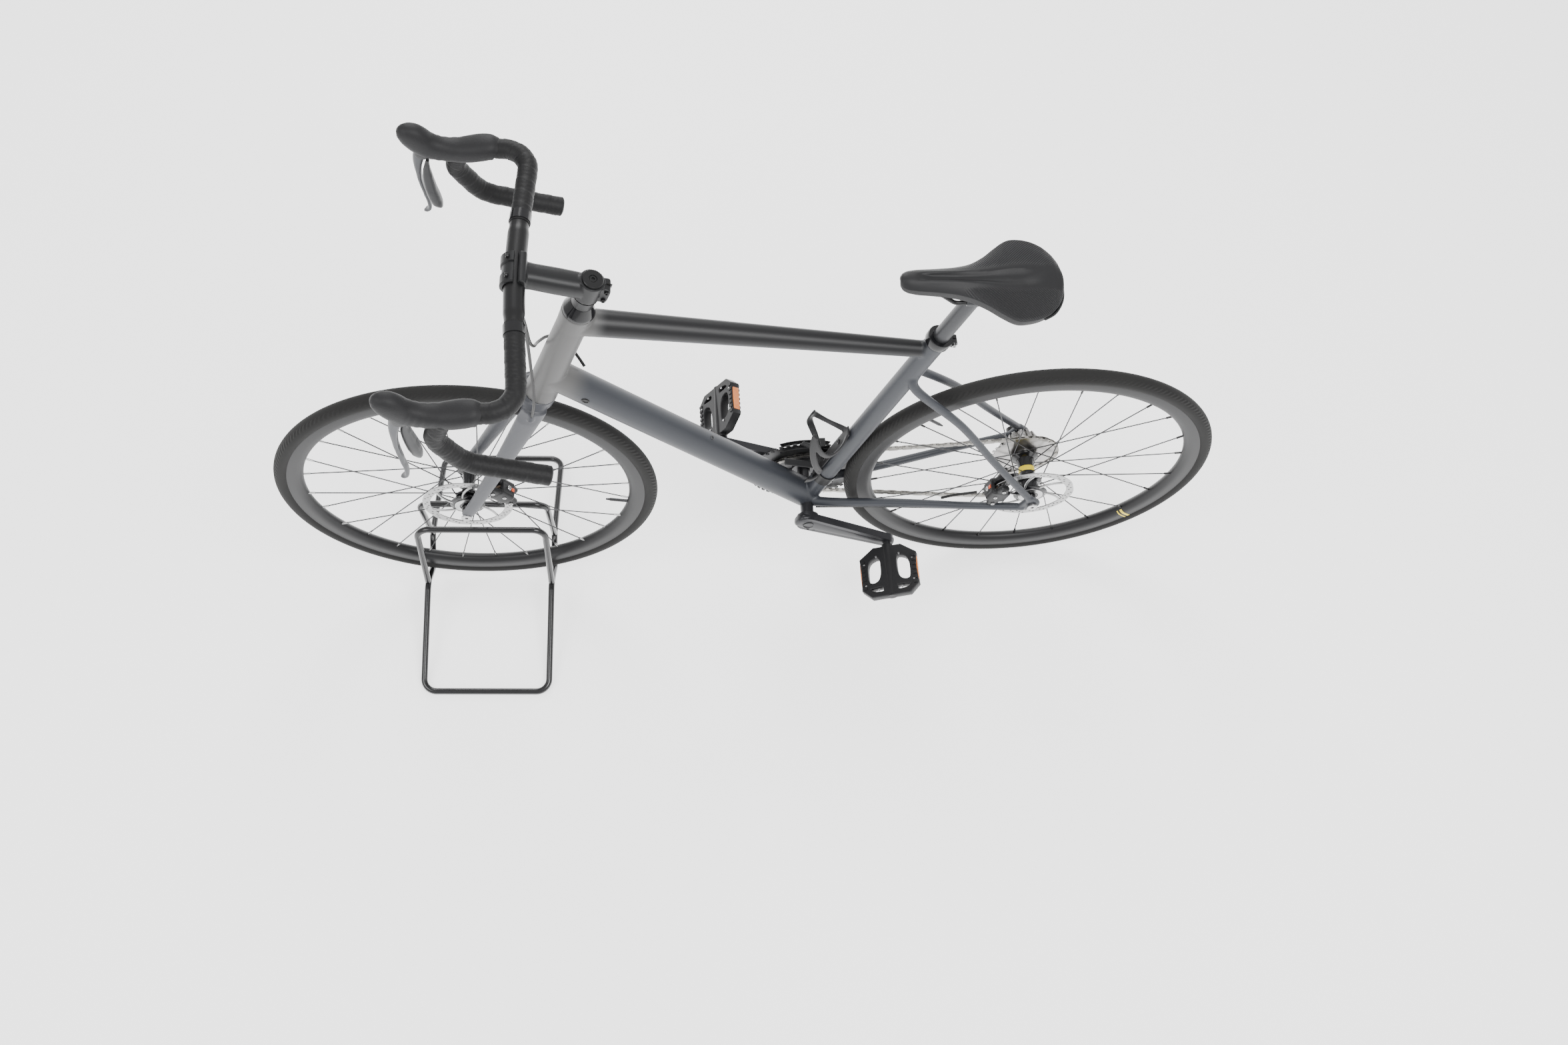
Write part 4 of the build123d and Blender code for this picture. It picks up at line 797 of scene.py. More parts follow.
def build_stem():
    """The stem's body, a thin black slab of painted shade in its clamp slit, its faceplate, and the bolts and
    top cap.
    """
    clamp = tube((0, 0, 655.6), (0, 0, 694.6), 19.6, 19.6, 64)
    body = rings_mesh("body", [ellipse((x, 0, BAR_HEIGHT), Y, Z, w, h, 48, 2.5) for x, w, h in STEM_SECTIONS])
    rear = rings_mesh("rear", [ellipse((-22, y, BAR_HEIGHT), X, Z, 8.5, 16.5, 32, 4) for y in (-11, 11)])
    back = rings_mesh("clamp_back", [ellipse((BAR_FORWARD - 8, y, BAR_HEIGHT), X, Z, 8, 22, 40, 3.2)
                                     for y in (-27, -26, 26, 27)])
    mesh = fused("stem_body", [clamp, body, rear, back], 1.1, 4)
    show("stem_body", mesh, STEERING, STEM_GREY, "fork", ("stem",))
    # The clamp's rear slit is a thin black slab: painted shade standing in for the dark gap.
    slot_shade = rings_mesh("slot_shade", [ellipse((-26.5, 0, z), Y, X, 0.9, 4.6, 12) for z in (657, 693)])
    show("stem_slot_shade", slot_shade, STEERING, HOSE_BLACK, "fork", ())

    plate_rings = []
    for y in (-27, -25, -9.5, -8.5, 8.5, 9.5, 25, 27):
        outer = 20.8 if 9 < abs(y) < 26 else 18.6
        plate_rings.append([Vector((BAR_FORWARD + r * math.cos(a), y, BAR_HEIGHT + r * math.sin(a)))
                            for r, a in arc_outline(16.1, outer)])
    face = rings_mesh("face", plate_rings)
    show("stem_face", face, STEERING, STEM_GREY, "fork", ("stem_faceplate",))
    heads = []
    for y in (-17, 17):
        for z in (-16.5, 16.5):
            heads.append(bolt((BAR_FORWARD + 13.5, y, BAR_HEIGHT + z), X, 3.6, 3.6, 2.0))
    for z in (665, 685):
        heads.append(bolt((-24, 11, z), Y, 3.6, 3.4, 2.0))
    cap = [(3.0, 696.6), (0.05, 696.6), (0.05, 695.0), (16.3, 695.0), (16.3, 697.4), (15.3, 698.4),
           (6.6, 698.4), (6.2, 697.4), (3.0, 697.4)]
    heads.append(moved(lathe("cap", cap, 64), UPRIGHT))
    heads.append(moved(bolt((0, 695.6, 0), Y, 5.4, 2.6, 2.6), UPRIGHT))
    hardware = merged("hardware", heads)
    show("stem_hardware", hardware, STEERING, SATIN_BLACK, "fork", ("stem_bolts",))


def arc_outline(inner, outer):
    """A half ring's outline as (radius, angle), for the bar clamp's faceplate."""
    angles = [math.radians(FACE_HALF_ANGLE * (k / 10 - 1)) for k in range(21)]
    return [(outer, a) for a in angles] + [(inner, a) for a in reversed(angles)]


# --- Handlebar, tape, hoods and levers ----------------------------------------------------------

TAPE_START = 88.0
BAR_POINTS = ((BAR_FORWARD, 0, BAR_HEIGHT), (108.5, TAPE_START, BAR_HEIGHT),
              (97.0, 229.0, BAR_HEIGHT - 2), (193.0, 238.0, 643.0), (199.0, 243.0, 586.0),
              (142.0, 244.0, 532.0), (16.0, 246.0, 533.0))
BAR_RADII = (260.0, 40.0, 28.0, 34.0, 60.0)
TAPE_RADIUS = 15.4
WRAP_PITCH = 23.0
LAP_START, LAP_HEIGHT = 0.93, 0.75
CREASE = 0.16
CLAMP_RADIUS, GRIP_STEP, BULGE = 15.9, 1.4, 74.0
LEVER_WIDTH = 234.0


def wrapped(distance, angle):
    """Tape radius: each turn of the wrap overlaps the one before it, with small hand-wound creases."""
    phase = (distance / WRAP_PITCH + angle / math.tau) % 1.0
    lap = LAP_HEIGHT * (phase if phase < LAP_START else (1 - phase) / (1 - LAP_START))
    crease = math.sin(distance * 0.9 + 3 * math.sin(angle * 2)) * math.sin(angle * 3 + distance * 0.07)
    return TAPE_RADIUS - 0.45 + lap + CREASE * crease


def build_bar():
    """The bare middle of the bar, and on each side the wrapped tape, its end band and the plug."""
    left = round_path(BAR_POINTS[:3], [BAR_RADII[0]], 4)
    bare = [point for point in left if point.y <= TAPE_START + 8]
    full = [Vector((p.x, -p.y, p.z)) for p in reversed(bare[1:])] + bare
    middle = sum((b - a).length for a, b in zip(full, full[1:])) / 2

    def thickness(distance, angle):
        return CLAMP_RADIUS - GRIP_STEP * soft_step(abs(distance - middle), BULGE - 4, BULGE + 8)

    def plug_radius(distance, angle):
        return 15.2 - 1.6 * max(0.0, distance - 2.2)

    top = sweep("bar_top", full, thickness, 48)
    show("bar_top", top, STEERING, SATIN_BLACK, "fork", ("handlebar",))
    tapes, bands, plugs = [], [], []
    for side in (1, -1):
        points = [Vector((x, side * y, z)) for x, y, z in BAR_POINTS[1:]]
        path = round_path(points, list(BAR_RADII[1:]), 1.6)
        tapes.append(sweep("tape", path, wrapped, 40))
        bands.append(sweep("band", path[2:13], 16.5, 40))
        end = path[-1]
        run = (end - path[-2]).normalized()
        plug = [end + run * reach for reach in (-1.0, 0.8, 2.0, 3.2)]
        plugs.append(sweep("plug", plug, plug_radius, 40))
    show("tape_wrap", merged("tape_wrap", tapes), STEERING, TAPE, "fork", ("bar_tape",))
    show("tape_bands", merged("tape_bands", bands), STEERING, GLOSS_BLACK, "fork", ())
    show("bar_plugs", merged("bar_plugs", plugs), STEERING, TAPE, "fork", ())


HOOD_TABLE = (
    # distance forward, middle height, half width, half height
    (148, 655.5, 17.4, 16.8), (160, 654, 20.5, 20.5), (176, 647.5, 21.5, 22.5), (192, 640, 20, 21.5),
    (208, 633.5, 17.8, 19.5), (228, 629.5, 16.6, 19.5), (246, 631.5, 16.8, 21), (262, 639.5, 17.0, 22),
    (276, 648, 15.6, 20), (286, 653.5, 12.2, 15), (292, 656.5, 7.0, 8.5), (294, 657.5, 2.0, 2.5),
)
HOOD_REAR, HOOD_FRONT = 148, 294
RIB_HEIGHT = 0.35
BRACKET_SECTIONS = ((247, 634, 12.5, 17), (250, 618, 12, 15), (253, 608, 10.5, 11), (254, 603, 8, 7))


def hood_ring(x, side):
    """One section of a hood, leaning back towards its horn, with low ribs on its sides."""
    z, width, height = between(HOOD_TABLE, x)
    centre = Vector((x, side * LEVER_WIDTH, z))
    lean = 0.16 + 0.5 * soft_step(x, 236, 292)
    up = Vector((-lean, 0, 1)).normalized()
    ribbed = RIB_HEIGHT * math.sin(x * 1.9) * soft_step(x, 196, 206) * (1 - soft_step(x, 240, 252))
    ring = []
    for point in ellipse(centre, Y, up, width, height, 40, 2.3):
        rib = ribbed * soft_step(abs(point.y - centre.y), 8, 13)
        ring.append(point + (point - centre).normalized() * rib)
    return ring


def build_hoods():
    """Two rubber hoods, each over a bracket that carries the levers."""
    hoods, brackets = [], []
    for side in (1, -1):
        rings = []
        for step in range(64):
            reach = 1 - (1 - step / 63) ** 1.35
            rings.append(hood_ring(HOOD_REAR + (HOOD_FRONT - HOOD_REAR) * reach, side))
        hoods.append(rings_mesh("hood", rings))
        y = side * (LEVER_WIDTH + 1)
        bracket = [ellipse((x, y, z), Y, (1, 0, 0.25), w, d, 32, 3.0) for x, z, w, d in BRACKET_SECTIONS]
        brackets.append(rings_mesh("bracket", bracket))
    pair = merged("hoods", hoods)
    show("hood_pair", pair, STEERING, HOOD_RUBBER, "fork", ("lever_hoods",))
    show("lever_brackets", merged("brackets", brackets), STEERING, PLASTIC, "fork", ())


def blade(table, y, steps):
    """A lever blade lofted down the table's heights: forward, half depth, half width."""
    heights = [row[0] for row in sorted(table)]
    rings = []
    for step in range(steps + 1):
        z = heights[-1] + (heights[0] - heights[-1]) * step / steps
        x, side, depth, width = between(table, z)
        rings.append(ellipse((x, y + side, z), Y, X, width, depth, 28, 3.0))
    return rings_mesh("blade", rings)


LEVER_TABLE = (
    # height, forward, sideways, half depth, half width
    (618, 256, 0, 5.0, 5.0), (612, 256, 0, 8.0, 7.0), (598, 254.5, 0, 8.6, 8.0), (580, 252, 1, 6.6, 8.4),
    (560, 247, 2, 4.6, 8.2), (540, 240.5, 3, 3.8, 7.8), (505, 226.5, 5, 3.4, 7.0), (484, 217.5, 6, 3.4, 6.6),
    (470, 214.5, 6.5, 3.2, 6.2), (463, 217.5, 6.5, 2.8, 5.4), (460, 220.5, 6.5, 1.4, 2.8),
)
PADDLE_TABLE = ((601.5, 240.5, 0, 2.6, 3.6), (592, 239.5, -1, 3.8, 5.0), (572, 235, -3, 7.5, 7.0),
                (545, 225, -5, 9.6, 9.0), (522, 214.5, -5, 10.4, 9.0), (506, 207, -5, 8.4, 7.5),
                (499, 203.5, -4, 4.5, 4.0),)


def build_levers():
    """On each side a brake lever, and behind it a shift paddle."""
    kinds = (("lever_blade", "brake_lever", "lever", LEVER_TABLE, LEVER_WIDTH + 2, 60, LEVER_GREY),
             ("paddle_blade", "shift_paddle", "paddle", PADDLE_TABLE, LEVER_WIDTH - 4, 40, PADDLE_GREY))
    for word, side in (("left", 1), ("right", -1)):
        for name, node, body, table, width, steps, material in kinds:
            mirrored = [(z, x, side * y, depth, half) for z, x, y, depth, half in table]
            mesh = blade(mirrored, side * width, steps)
            rides, replaced = f"{body}_{word[0]}", (f"{node}_{word}",)
            show(f"{name}_{word}", mesh, STEERING, material, rides, replaced)


# --- Hoses --------------------------------------------------------------------------------------

FRONT_HOSE = ((94, 62, 655), (86, 55, 640), (75, 50, 600), (60, 46, 550), (42, 45.5, 490), (24, 46, 430),
              (13, 47, 385), (9, 42.5, 345))
CROSS_HOSE = ((92, 54, 650), (84, 49, 628), (74, 44, 598), (60, 38, 556), (46, 20, 522), (37, -6, 496),
              (13, -39, 476), (-24, -43, 455), (-56, -20, 430))
CHAINSTAY_HOSE = ((160, 44, -26), (140, 46, -12), (118, 50, 0), (100, 52, 8))
STAY_LINE = ((388, 27, -77), (330, 33.5, -68), (240, 45.5, -53), (150, 58.5, -40), (104, 64, -33))
HOSE_RADIUS, LINE_RADIUS = 2.5, 1.6


def hose(name, points, place, body, replaced=(), radius=HOSE_RADIUS):
    """A hose along a smooth curve through its route; between two bodies it is baked in place and rides on
    neither.
    """
    data = bpy.data.curves.new(name, "CURVE")
    data.dimensions = "3D"
    data.bevel_depth = radius * MM
    data.bevel_resolution = 6
    data.resolution_u = 16
    data.use_fill_caps = True
    spline = data.splines.new("NURBS")
    spline.points.add(len(points) - 1)
    for point, spot in zip(spline.points, points):
        point.co = (*(place @ Vector(spot)), 1)
    spline.order_u = 3
    spline.use_endpoint_u = True
    piece = bpy.data.objects.new(name, data)
    bpy.context.scene.collection.objects.link(piece)
    data.materials.append(HOSE_BLACK)
    if isinstance(body, tuple):
        mesh = finished_mesh(piece)
        piece = bpy.data.objects.new(name, mesh)
        bpy.context.scene.collection.objects.link(piece)
        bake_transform(piece)
    else:
        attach(piece, body)
    if replaced:
        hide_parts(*replaced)


def build_hoses():
    """The front hose, the rear hose's two visible runs and the gear line under the left chainstay."""
    hose("hose_front", FRONT_HOSE, STEERING, "fork", ("front_brake_hose",))
    hose("hose_rear_stay", CHAINSTAY_HOSE, BIKE, "frame", ("rear_brake_hose",))
    hose("hose_rear_cross", CROSS_HOSE, STEERING, ("fork", "frame"))
    hose("stay_line", STAY_LINE, BIKE, "frame", radius=LINE_RADIUS)


# --- Wheels -------------------------------------------------------------------------------------

ROTOR_Y = {"front": 35.3, "rear": 55.0}
WHEELS = {
    # left and right: each flange's y and radius; turn: the first spoke's angle
    "front": dict(place=FRONT_WHEEL, body="front_wheel", spokes=28, left=(20.5, 20.0), right=(-33.5, 20.0),
                  turn=4, nipple=SILVER, carrier=17.2),
    "rear": dict(place=BIKE, body="rear_wheel", spokes=24, left=(30.0, 22.0), right=(-20.0, 23.0),
                 turn=9, nipple=GLOSS_BLACK, carrier=17.5),
}
TYRE_CENTRE, TYRE_RADIUS = 324.8, 14.2
TREAD_HEIGHT, TREAD_HALF_ANGLE = 0.25, 62
TYRE_HALF_ANGLE = 152
GROOVES = 190
SPOKE_SEAT = 289.0
SPOKE_LEAN = 68
SPOKE_SIDESTEP, RIM_SIDESTEP = 1.6, 2.0
VALVE_ANGLE = {"front": 173, "rear": 43}
VALVE_FOOT = 290


def tyre_mesh():
    """A tyre with a faint raised tread band, and its angle and shoulder stored for the tread pattern."""
    outline = []
    for k in range(41):
        a = math.radians(TYRE_HALF_ANGLE * (k / 20 - 1))
        lowered = 0.0 if abs(math.degrees(a)) < TREAD_HALF_ANGLE else TREAD_HEIGHT
        radius = TYRE_CENTRE + (TYRE_RADIUS - lowered) * math.cos(a)
        outline.append((radius, (TYRE_RADIUS - 0.3) * math.sin(a)))
    outline.append((316.0, -9.0))
    outline.append((316.0, 9.0))
    mesh = lathe("tyre", outline, 240)
    around, side, shoulder = [], [], []
    for vertex in mesh.vertices:
        x, y, z = vertex.co
        out = math.degrees(math.atan2(abs(y), math.hypot(x, z) - TYRE_CENTRE))
        around.append(GROOVES * math.atan2(z, x))
        side.append(out / 14 * (1 if y > 0 else -1))
        shoulder.append(soft_step(out, 24, 30) * (1 - soft_step(out, 56, 62)))
    store(mesh, "around", around)
    store(mesh, "side", side)
    store(mesh, "shoulder", shoulder)
    return mesh


def rim_mesh():
    """A box rim with hollow sides and a slightly pointed inner edge."""
    half, wall = 11.0, 1.6
    outer = [(289.5, 5.2), (292.5, 8.8), (297, 10.8), (303, 11.2), (314, half), (316.2, half - 0.4),
             (316.2, half - wall), (304, 11.2 - wall), (296, 9.0), (291.5, 4.5), (290.0, 0.0)]
    mirrored = [(r, -y) for r, y in reversed(outer[:-1])]
    inner = [(288.0, -3.0), (287.4, 0.0), (288.0, 3.0)]
    return lathe("rim", outer + mirrored + inner, 240)


def spoke_ends(wheel):
    """Start and end of each spoke, crossed in pairs, as in the CAD wheel."""
    ends = []
    for index in range(wheel["spokes"]):
        flange_y, flange_radius = wheel["right"] if index % 2 else wheel["left"]
        lean = SPOKE_LEAN if (index // 2) % 2 else -SPOKE_LEAN
        outer = wheel["turn"] + index * 360 / wheel["spokes"]
        x, z = polar(flange_radius, outer + lean)
        start = Vector((x, flange_y + math.copysign(SPOKE_SIDESTEP, lean), z))
        x, z = polar(SPOKE_SEAT, outer)
        ends.append((start, Vector((x, math.copysign(RIM_SIDESTEP, flange_y), z))))
    return ends


def spoke_radius(distance, angle):
    """Butted wire: thicker at both ends."""
    return 1.05 if distance < 8 or distance > 255 else 0.85


def build_wheel(name):
    """Tyre, rim, spokes, nipples, valve and brake rotor."""
    wheel = WHEELS[name]
    place, body = wheel["place"], wheel["body"]
    show(f"{name}_tyre_tread", tyre_mesh(), place, TYRE_RUBBER, body, (f"{name}_tyre",))
    show(f"{name}_rim_shell", rim_mesh(), place, RIM_BLACK, body, (f"{name}_rim",))
    spokes, nipples = [], []
    for start, end in spoke_ends(wheel):
        run = (end - start).normalized()
        spokes.append(sweep("spoke", [start, start + run * 6, end - run * 12, end], spoke_radius, 8))
        nipples.append(sweep("nipple", [end - run * back for back in (13, 12.5, 1, 0)], 1.9, 10))
    wires = merged("spokes", spokes)
    show(f"{name}_spoke_set", wires, place, DARK_STEEL, body, (f"{name}_spokes",))
    show(f"{name}_nipples", merged("nipples", nipples), place, wheel["nipple"], body, ())
    build_valve(name, place, body)
    build_rotor(name, wheel)


def valve_radius(distance, angle):
    """A nut, a threaded stem, a shoulder and the thin core."""
    for end, radius in ((2.5, 4.2), (34.5, 2.9), (37, 2.2)):
        if distance < end:
            return radius
    return 1.6


def build_valve(name, place, body):
    """A bare valve stem that points from the rim to the hub."""
    x, z = polar(1, VALVE_ANGLE[name])
    path = [Vector((x, 0, z)) * (VALVE_FOOT - reach) for reach in (0, 2, 3, 34, 35, 36, 41, 42)]
    stem = sweep("valve", path, valve_radius, 14)
    show(f"{name}_valve", stem, place, DARK_STEEL, body, ())


ROTOR_RADIUS, RING_INNER, ROTOR_THICKNESS = 80.0, 66.0, 1.8
ROTOR_ARMS, ROTOR_WAVES = 6, 12
DRILLED = ((76.0, 0), (72.6, 5), (69.2, 10), (74.3, 15), (70.8, 20))


def arm_radius(distance, angle):
    """A rotor arm is a little deeper than wide."""
    return 2.6 if abs(math.sin(angle)) < 0.5 else 2.2


def build_rotor(name, wheel):
    """Drilled braking ring, curved arms and a black carrier with a bright lock ring."""
    y = ROTOR_Y[name]
    outlines = [scalloped(ROTOR_RADIUS, ROTOR_WAVES, 0.9), circle(RING_INNER, 96)]
    for k in range(ROTOR_WAVES):
        for radius, shift in DRILLED:
            outlines.append(circle(1.9, 12, polar(radius, k * 360 / ROTOR_WAVES + shift)))
    ring = moved(cut_plate("ring", outlines, ROTOR_THICKNESS), at(0, y, 0))
    arms = []
    for k in range(ROTOR_ARMS):
        spots = [polar(26 + 42 * t / 8, k * 360 / ROTOR_ARMS + 26 * t / 8) for t in range(9)]
        arms.append(sweep("arm", [Vector((x, y, z)) for x, z in spots], arm_radius, 10))
    place, body = wheel["place"], wheel["body"]
    show(f"{name}_rotor_ring", ring, place, ROTOR_STEEL, body, (f"{name}_rotor",))
    show(f"{name}_rotor_arms", merged("arms", arms), place, ROTOR_STEEL, body, ())
    carrier = wheel["carrier"]
    profile = [(carrier, y - 1.2), (30, y - 1.2), (31, y), (30, y + 1.2), (24, y + 2.6), (carrier, y + 2.6)]
    hub_ring = lathe("carrier", profile, 96)
    show(f"{name}_rotor_carrier", hub_ring, place, GLOSS_BLACK, body, ())
    profile = [(14, y + 2.4), (22.5, y + 2.4), (22.5, y + 4.2), (20, y + 4.8), (14, y + 4.8)]
    show(f"{name}_lock_ring", lathe("lock", profile, 48), place, SILVER, body, ())


def scalloped(radius, waves, depth):
    """A circle's outline with shallow waves cut into it."""
    count = waves * 16
    outline = []
    for k in range(count):
        wave = 0.5 - 0.5 * math.cos(math.tau * waves * k / count)
        outline.append(polar(radius - depth * wave, 360 * k / count))
    return outline


def build_marks():
    """Two yellow lines across the rear rim and a yellow band on its hub."""
    section = ((290.0, 5.9), (292.6, 9.1), (297, 11.1), (303, 11.45), (314, 11.25), (316.2, 10.85),
               (314, 10.7), (303, 10.8), (297, 10.4), (292.5, 8.4), (290.5, 5.4))
    lines = []
    for start, width in ((219.4, 1.0), (221.2, 0.5)):
        strip = []
        for k in range(5):
            spots = [polar(r, start + width * k / 4) for r, _ in section]
            strip.append([Vector((x, y, z)) for (x, z), (_, y) in zip(spots, section)])
        lines.append(rings_mesh("line", strip))
    show("rim_mark", merged("mark", lines), BIKE, YELLOW, "rear_wheel", ())
    band = lathe("band", [(13.9, 3), (14.8, 3), (15.0, 4), (15.3, 12), (14.9, 13), (14.0, 13)], 64)
    show("hub_band", band, BIKE, YELLOW, "rear_wheel", ())


def build_axle_ends():
    """The bright ring and hexagonal socket on each axle's left end."""
    for name, place, body, y in (("front", FRONT_WHEEL, "fork", 62.5), ("rear", BIKE, "frame", 83.1)):
        profile = [(4.2, y - 1), (9.4, y - 1), (9.4, y + 0.6), (8.6, y + 1.4), (4.2, y + 1.4)]
        show(f"{name}_axle_ring", lathe("ring", profile, 48), place, SILVER, body, ())
        socket = lathe("hex", [(2.6, y - 2), (4.6, y - 2), (4.6, y + 1.0), (2.6, y + 1.0)], 6)
        show(f"{name}_axle_hex", socket, place, DARK_STEEL, body, ())


# --- Brakes -------------------------------------------------------------------------------------

CALIPERS = (
    # name, place, body, half's width, height
    ("front", STEERING @ at(-3, 0, 70) @ turn("Y", -34.4), "fork", 10.5, 17),
    ("rear", BIKE @ at(65, 0, 20) @ turn("Y", 72.9), "frame", 11, 20),
)
CALIPER_GAP = 6.4


def build_calipers():
    """Two halves and a bridge over each rotor, with screws and a small orange mark."""
    for name, place, body, width, height in CALIPERS:
        y = ROTOR_Y[name]
        sections = ((-31, 2.2, 6), (-29, width / 2, 9), (-16, width / 2, 12),
                    (-13, width / 2 + 0.8, height - 1), (13, width / 2 + 0.8, height - 1),
                    (16, width / 2, 12), (29, width / 2, 9), (31, 2.2, 6))
        parts = []
        for side in (1, -1):
            middle = y + side * (CALIPER_GAP + width / 2 - 1)
            shell = [ellipse((x, middle, 0), Y, Z, w, h, 32, 3.2) for x, w, h in sections]
            parts.append(rings_mesh("half", shell))
        bridge = [ellipse((x, y, height - 4.5), Y, Z, 11, 3.6, 24, 3.5) for x in (-15, -14, 14, 15)]
        parts.append(rings_mesh("bridge", bridge))
        mesh = fused("caliper", parts, 1.0, 3)
        show(f"{name}_caliper_shell", mesh, place, PLASTIC, body, (f"{name}_caliper",))
        outer = y + CALIPER_GAP + width - 0.6
        screws = [bolt((x, outer, z), Y, 3.6, 1.8, 1.9) for x, z in ((-23, 0), (23, 0), (0, 6))]
        screws.append(bolt((0, y, height - 1.2), Z, 4.4, 2.4, 2.2))
        show(f"{name}_caliper_screws", merged("screws", screws), place, SILVER, body, ())
        mark = [ellipse((x, y, height - 0.6), Y, Z, 3.2, 1.3, 20, 3) for x in (-12, -6)]
        accent = rings_mesh("accent", mark)
        show(f"{name}_caliper_accent", accent, place, ACCENT, body, ())


# --- Drivetrain ---------------------------------------------------------------------------------

ARM_TABLE = (
    # distance from the axle, half width, half thickness
    (-24, 8, 6), (-20, 16, 7.5), (0, 21, 8), (22, 18.5, 8), (60, 15.2, 8), (120, 13.2, 7.5), (160, 13.4, 7.2),
    (176, 13.2, 7), (184, 9, 6.2), (187, 3, 4.5),
)
ARM_Y, ARM_FLARE = 60.2, 8.0


def crank_mesh(side):
    """A crank arm with a crowned face, waisted between its two eyes."""
    start, end = ARM_TABLE[0][0], ARM_TABLE[-1][0]
    rings = []
    for step in range(72):
        x = start + (end - start) * step / 71
        half, depth = between(ARM_TABLE, x)
        y = side * (ARM_Y + ARM_FLARE * max(0, x) / CRANK_LENGTH)
        rings.append(ellipse((-side * x, y, 0), Y, Z, depth, half, 36, 2.7))
    return rings_mesh("crank", rings)


def build_cranks():
    """Both crank arms, their end covers, pedal axle ends and the left arm's pinch bolts."""
    y = ARM_Y + ARM_FLARE
    profile = [(0.05, y - 6), (10.5, y - 6), (10.5, y + 0.6), (9.6, y + 1.0), (8.4, y - 1.6),
               (0.05, y - 1.6)]
    for word, side in (("left", 1), ("right", -1)):
        show(f"crank_arm_{word}", crank_mesh(side), CRANK, CRANK_GREY, "cranks", ())
        cover = moved(lathe("cover", profile, 40), Matrix.Scale(side, 4, Y))
        show(f"crank_bolt_{word}", cover, CRANK, SATIN_BLACK, "cranks", ())
        spots = [bolt((-side * CRANK_LENGTH, side * 74.6, 0), (0, side, 0), 7.4, 1.6, 4.0)]
        if word == "left":
            spots += [bolt((-x, 66.6, -15.5), (0.1, 1, 0), 3.2, 1.6, 1.8) for x in (8, 20)]
        show(f"crank_eye_{word}", merged("eye", spots), CRANK, DARK_STEEL, "cranks", ())


PEDAL_TILT = {"left": -18.0, "right": -58.0}
PEDAL_EDGE = [(-53, 106), (-26, 86), (26, 86), (53, 106), (51, 136), (53, 168), (36, 184), (-36, 184),
              (-53, 168), (-51, 136)]
PEDAL_WINDOWS = ([(14, 101), (41, 112), (42, 155), (31, 159), (20, 154), (14, 140)],
                 [(12, 165), (24, 165), (42, 167), (34, 175), (12, 177)])
PIN_ROWS = {-46: (118, 160), -22: (104, 172), 22: (104, 172), 46: (118, 160)}


def barrel_radius(distance, angle):
    """The pedal's axle housing, thinner past the inner bearing."""
    return 10.6 if distance < 100 else 9.0


def pedal_platform():
    """A plate with four windows, toothed edges and the axle's barrel."""
    windows = []
    for corners in PEDAL_WINDOWS:
        windows.append(softened(corners))
        windows.append(softened([(-x, y) for x, y in corners]))
    parts = [flat_plate([PEDAL_EDGE] + windows, 17.0, 1.6)]
    barrel = [Vector((0, y, 0)) for y in (80, 84, 120, 180, 186)]
    parts.append(sweep("barrel", barrel, barrel_radius, 32))
    for x in (-48.5, 48.5):
        for k in range(7):
            parts.append(box_ring((x, 112 + k * 9, 0), 4.0, 2.6, 10.2))
    return merged("platform", parts)


def pedal_pins():
    """Studs that stand out of both faces."""
    pins = []
    for x, row in PIN_ROWS.items():
        for y in row:
            for end in (1, -1):
                pins.append(sweep("pin", [Vector((x, y, end * z)) for z in (7, 9.6, 9.9)], 1.9, 10))
    return merged("pins", pins)


def build_pedals():
    """Each pedal in the crank eye's place, tilted as it came to rest."""
    for word, side in (("left", 1), ("right", -1)):
        eye = CRANK @ at(-side * CRANK_LENGTH, 0, 0) @ turn("Y", CRANK_ANGLE)
        place = eye @ turn("Y", -PEDAL_TILT[word]) @ Matrix.Scale(side, 4, Y)
        body = f"pedal_{word[0]}"
        replaced = (f"pedal_{word}",)
        show(f"platform_{word}", pedal_platform(), place, PLASTIC, body, replaced)
        glass = [box_ring((x, 137, 0), 1.6, 23, 6.4) for x in (-53.2, 53.2)]
        show(f"reflector_{word}", merged("reflector", glass), place, ORANGE, body, ())
        show(f"pins_{word}", pedal_pins(), place, SILVER, body, ())


CORNER_CUT = 0.22


def softened(corners):
    """An outline with each corner cut off twice, so that it reads as rounded."""
    for _ in range(2):
        smoother = []
        for here, after in zip(corners, corners[1:] + corners[:1]):
            for share in (CORNER_CUT, 1 - CORNER_CUT):
                smoother.append(tuple(a + (b - a) * share for a, b in zip(here, after)))
        corners = smoother
    return corners


def flat_plate(outlines, thickness, bevel):
    """A plate lying in XY, from outlines in the pedal's own plane."""
    return moved(cut_plate("plate", outlines, thickness, bevel), turn("X", -90))


def box_ring(centre, half_x, half_y, half_z):
    """A small block with rounded corners."""
    x, y, z = centre
    rings = []
    for height, shrink in ((-half_z, 0.9), (-half_z * 0.92, 1.0), (half_z * 0.92, 1.0), (half_z, 0.9)):
        rings.append(ellipse((x, y, z + height), X, Y, half_x * shrink, half_y * shrink, 20, 8.0))
    return rings_mesh("block", rings)


# --- Saddle -------------------------------------------------------------------------------------

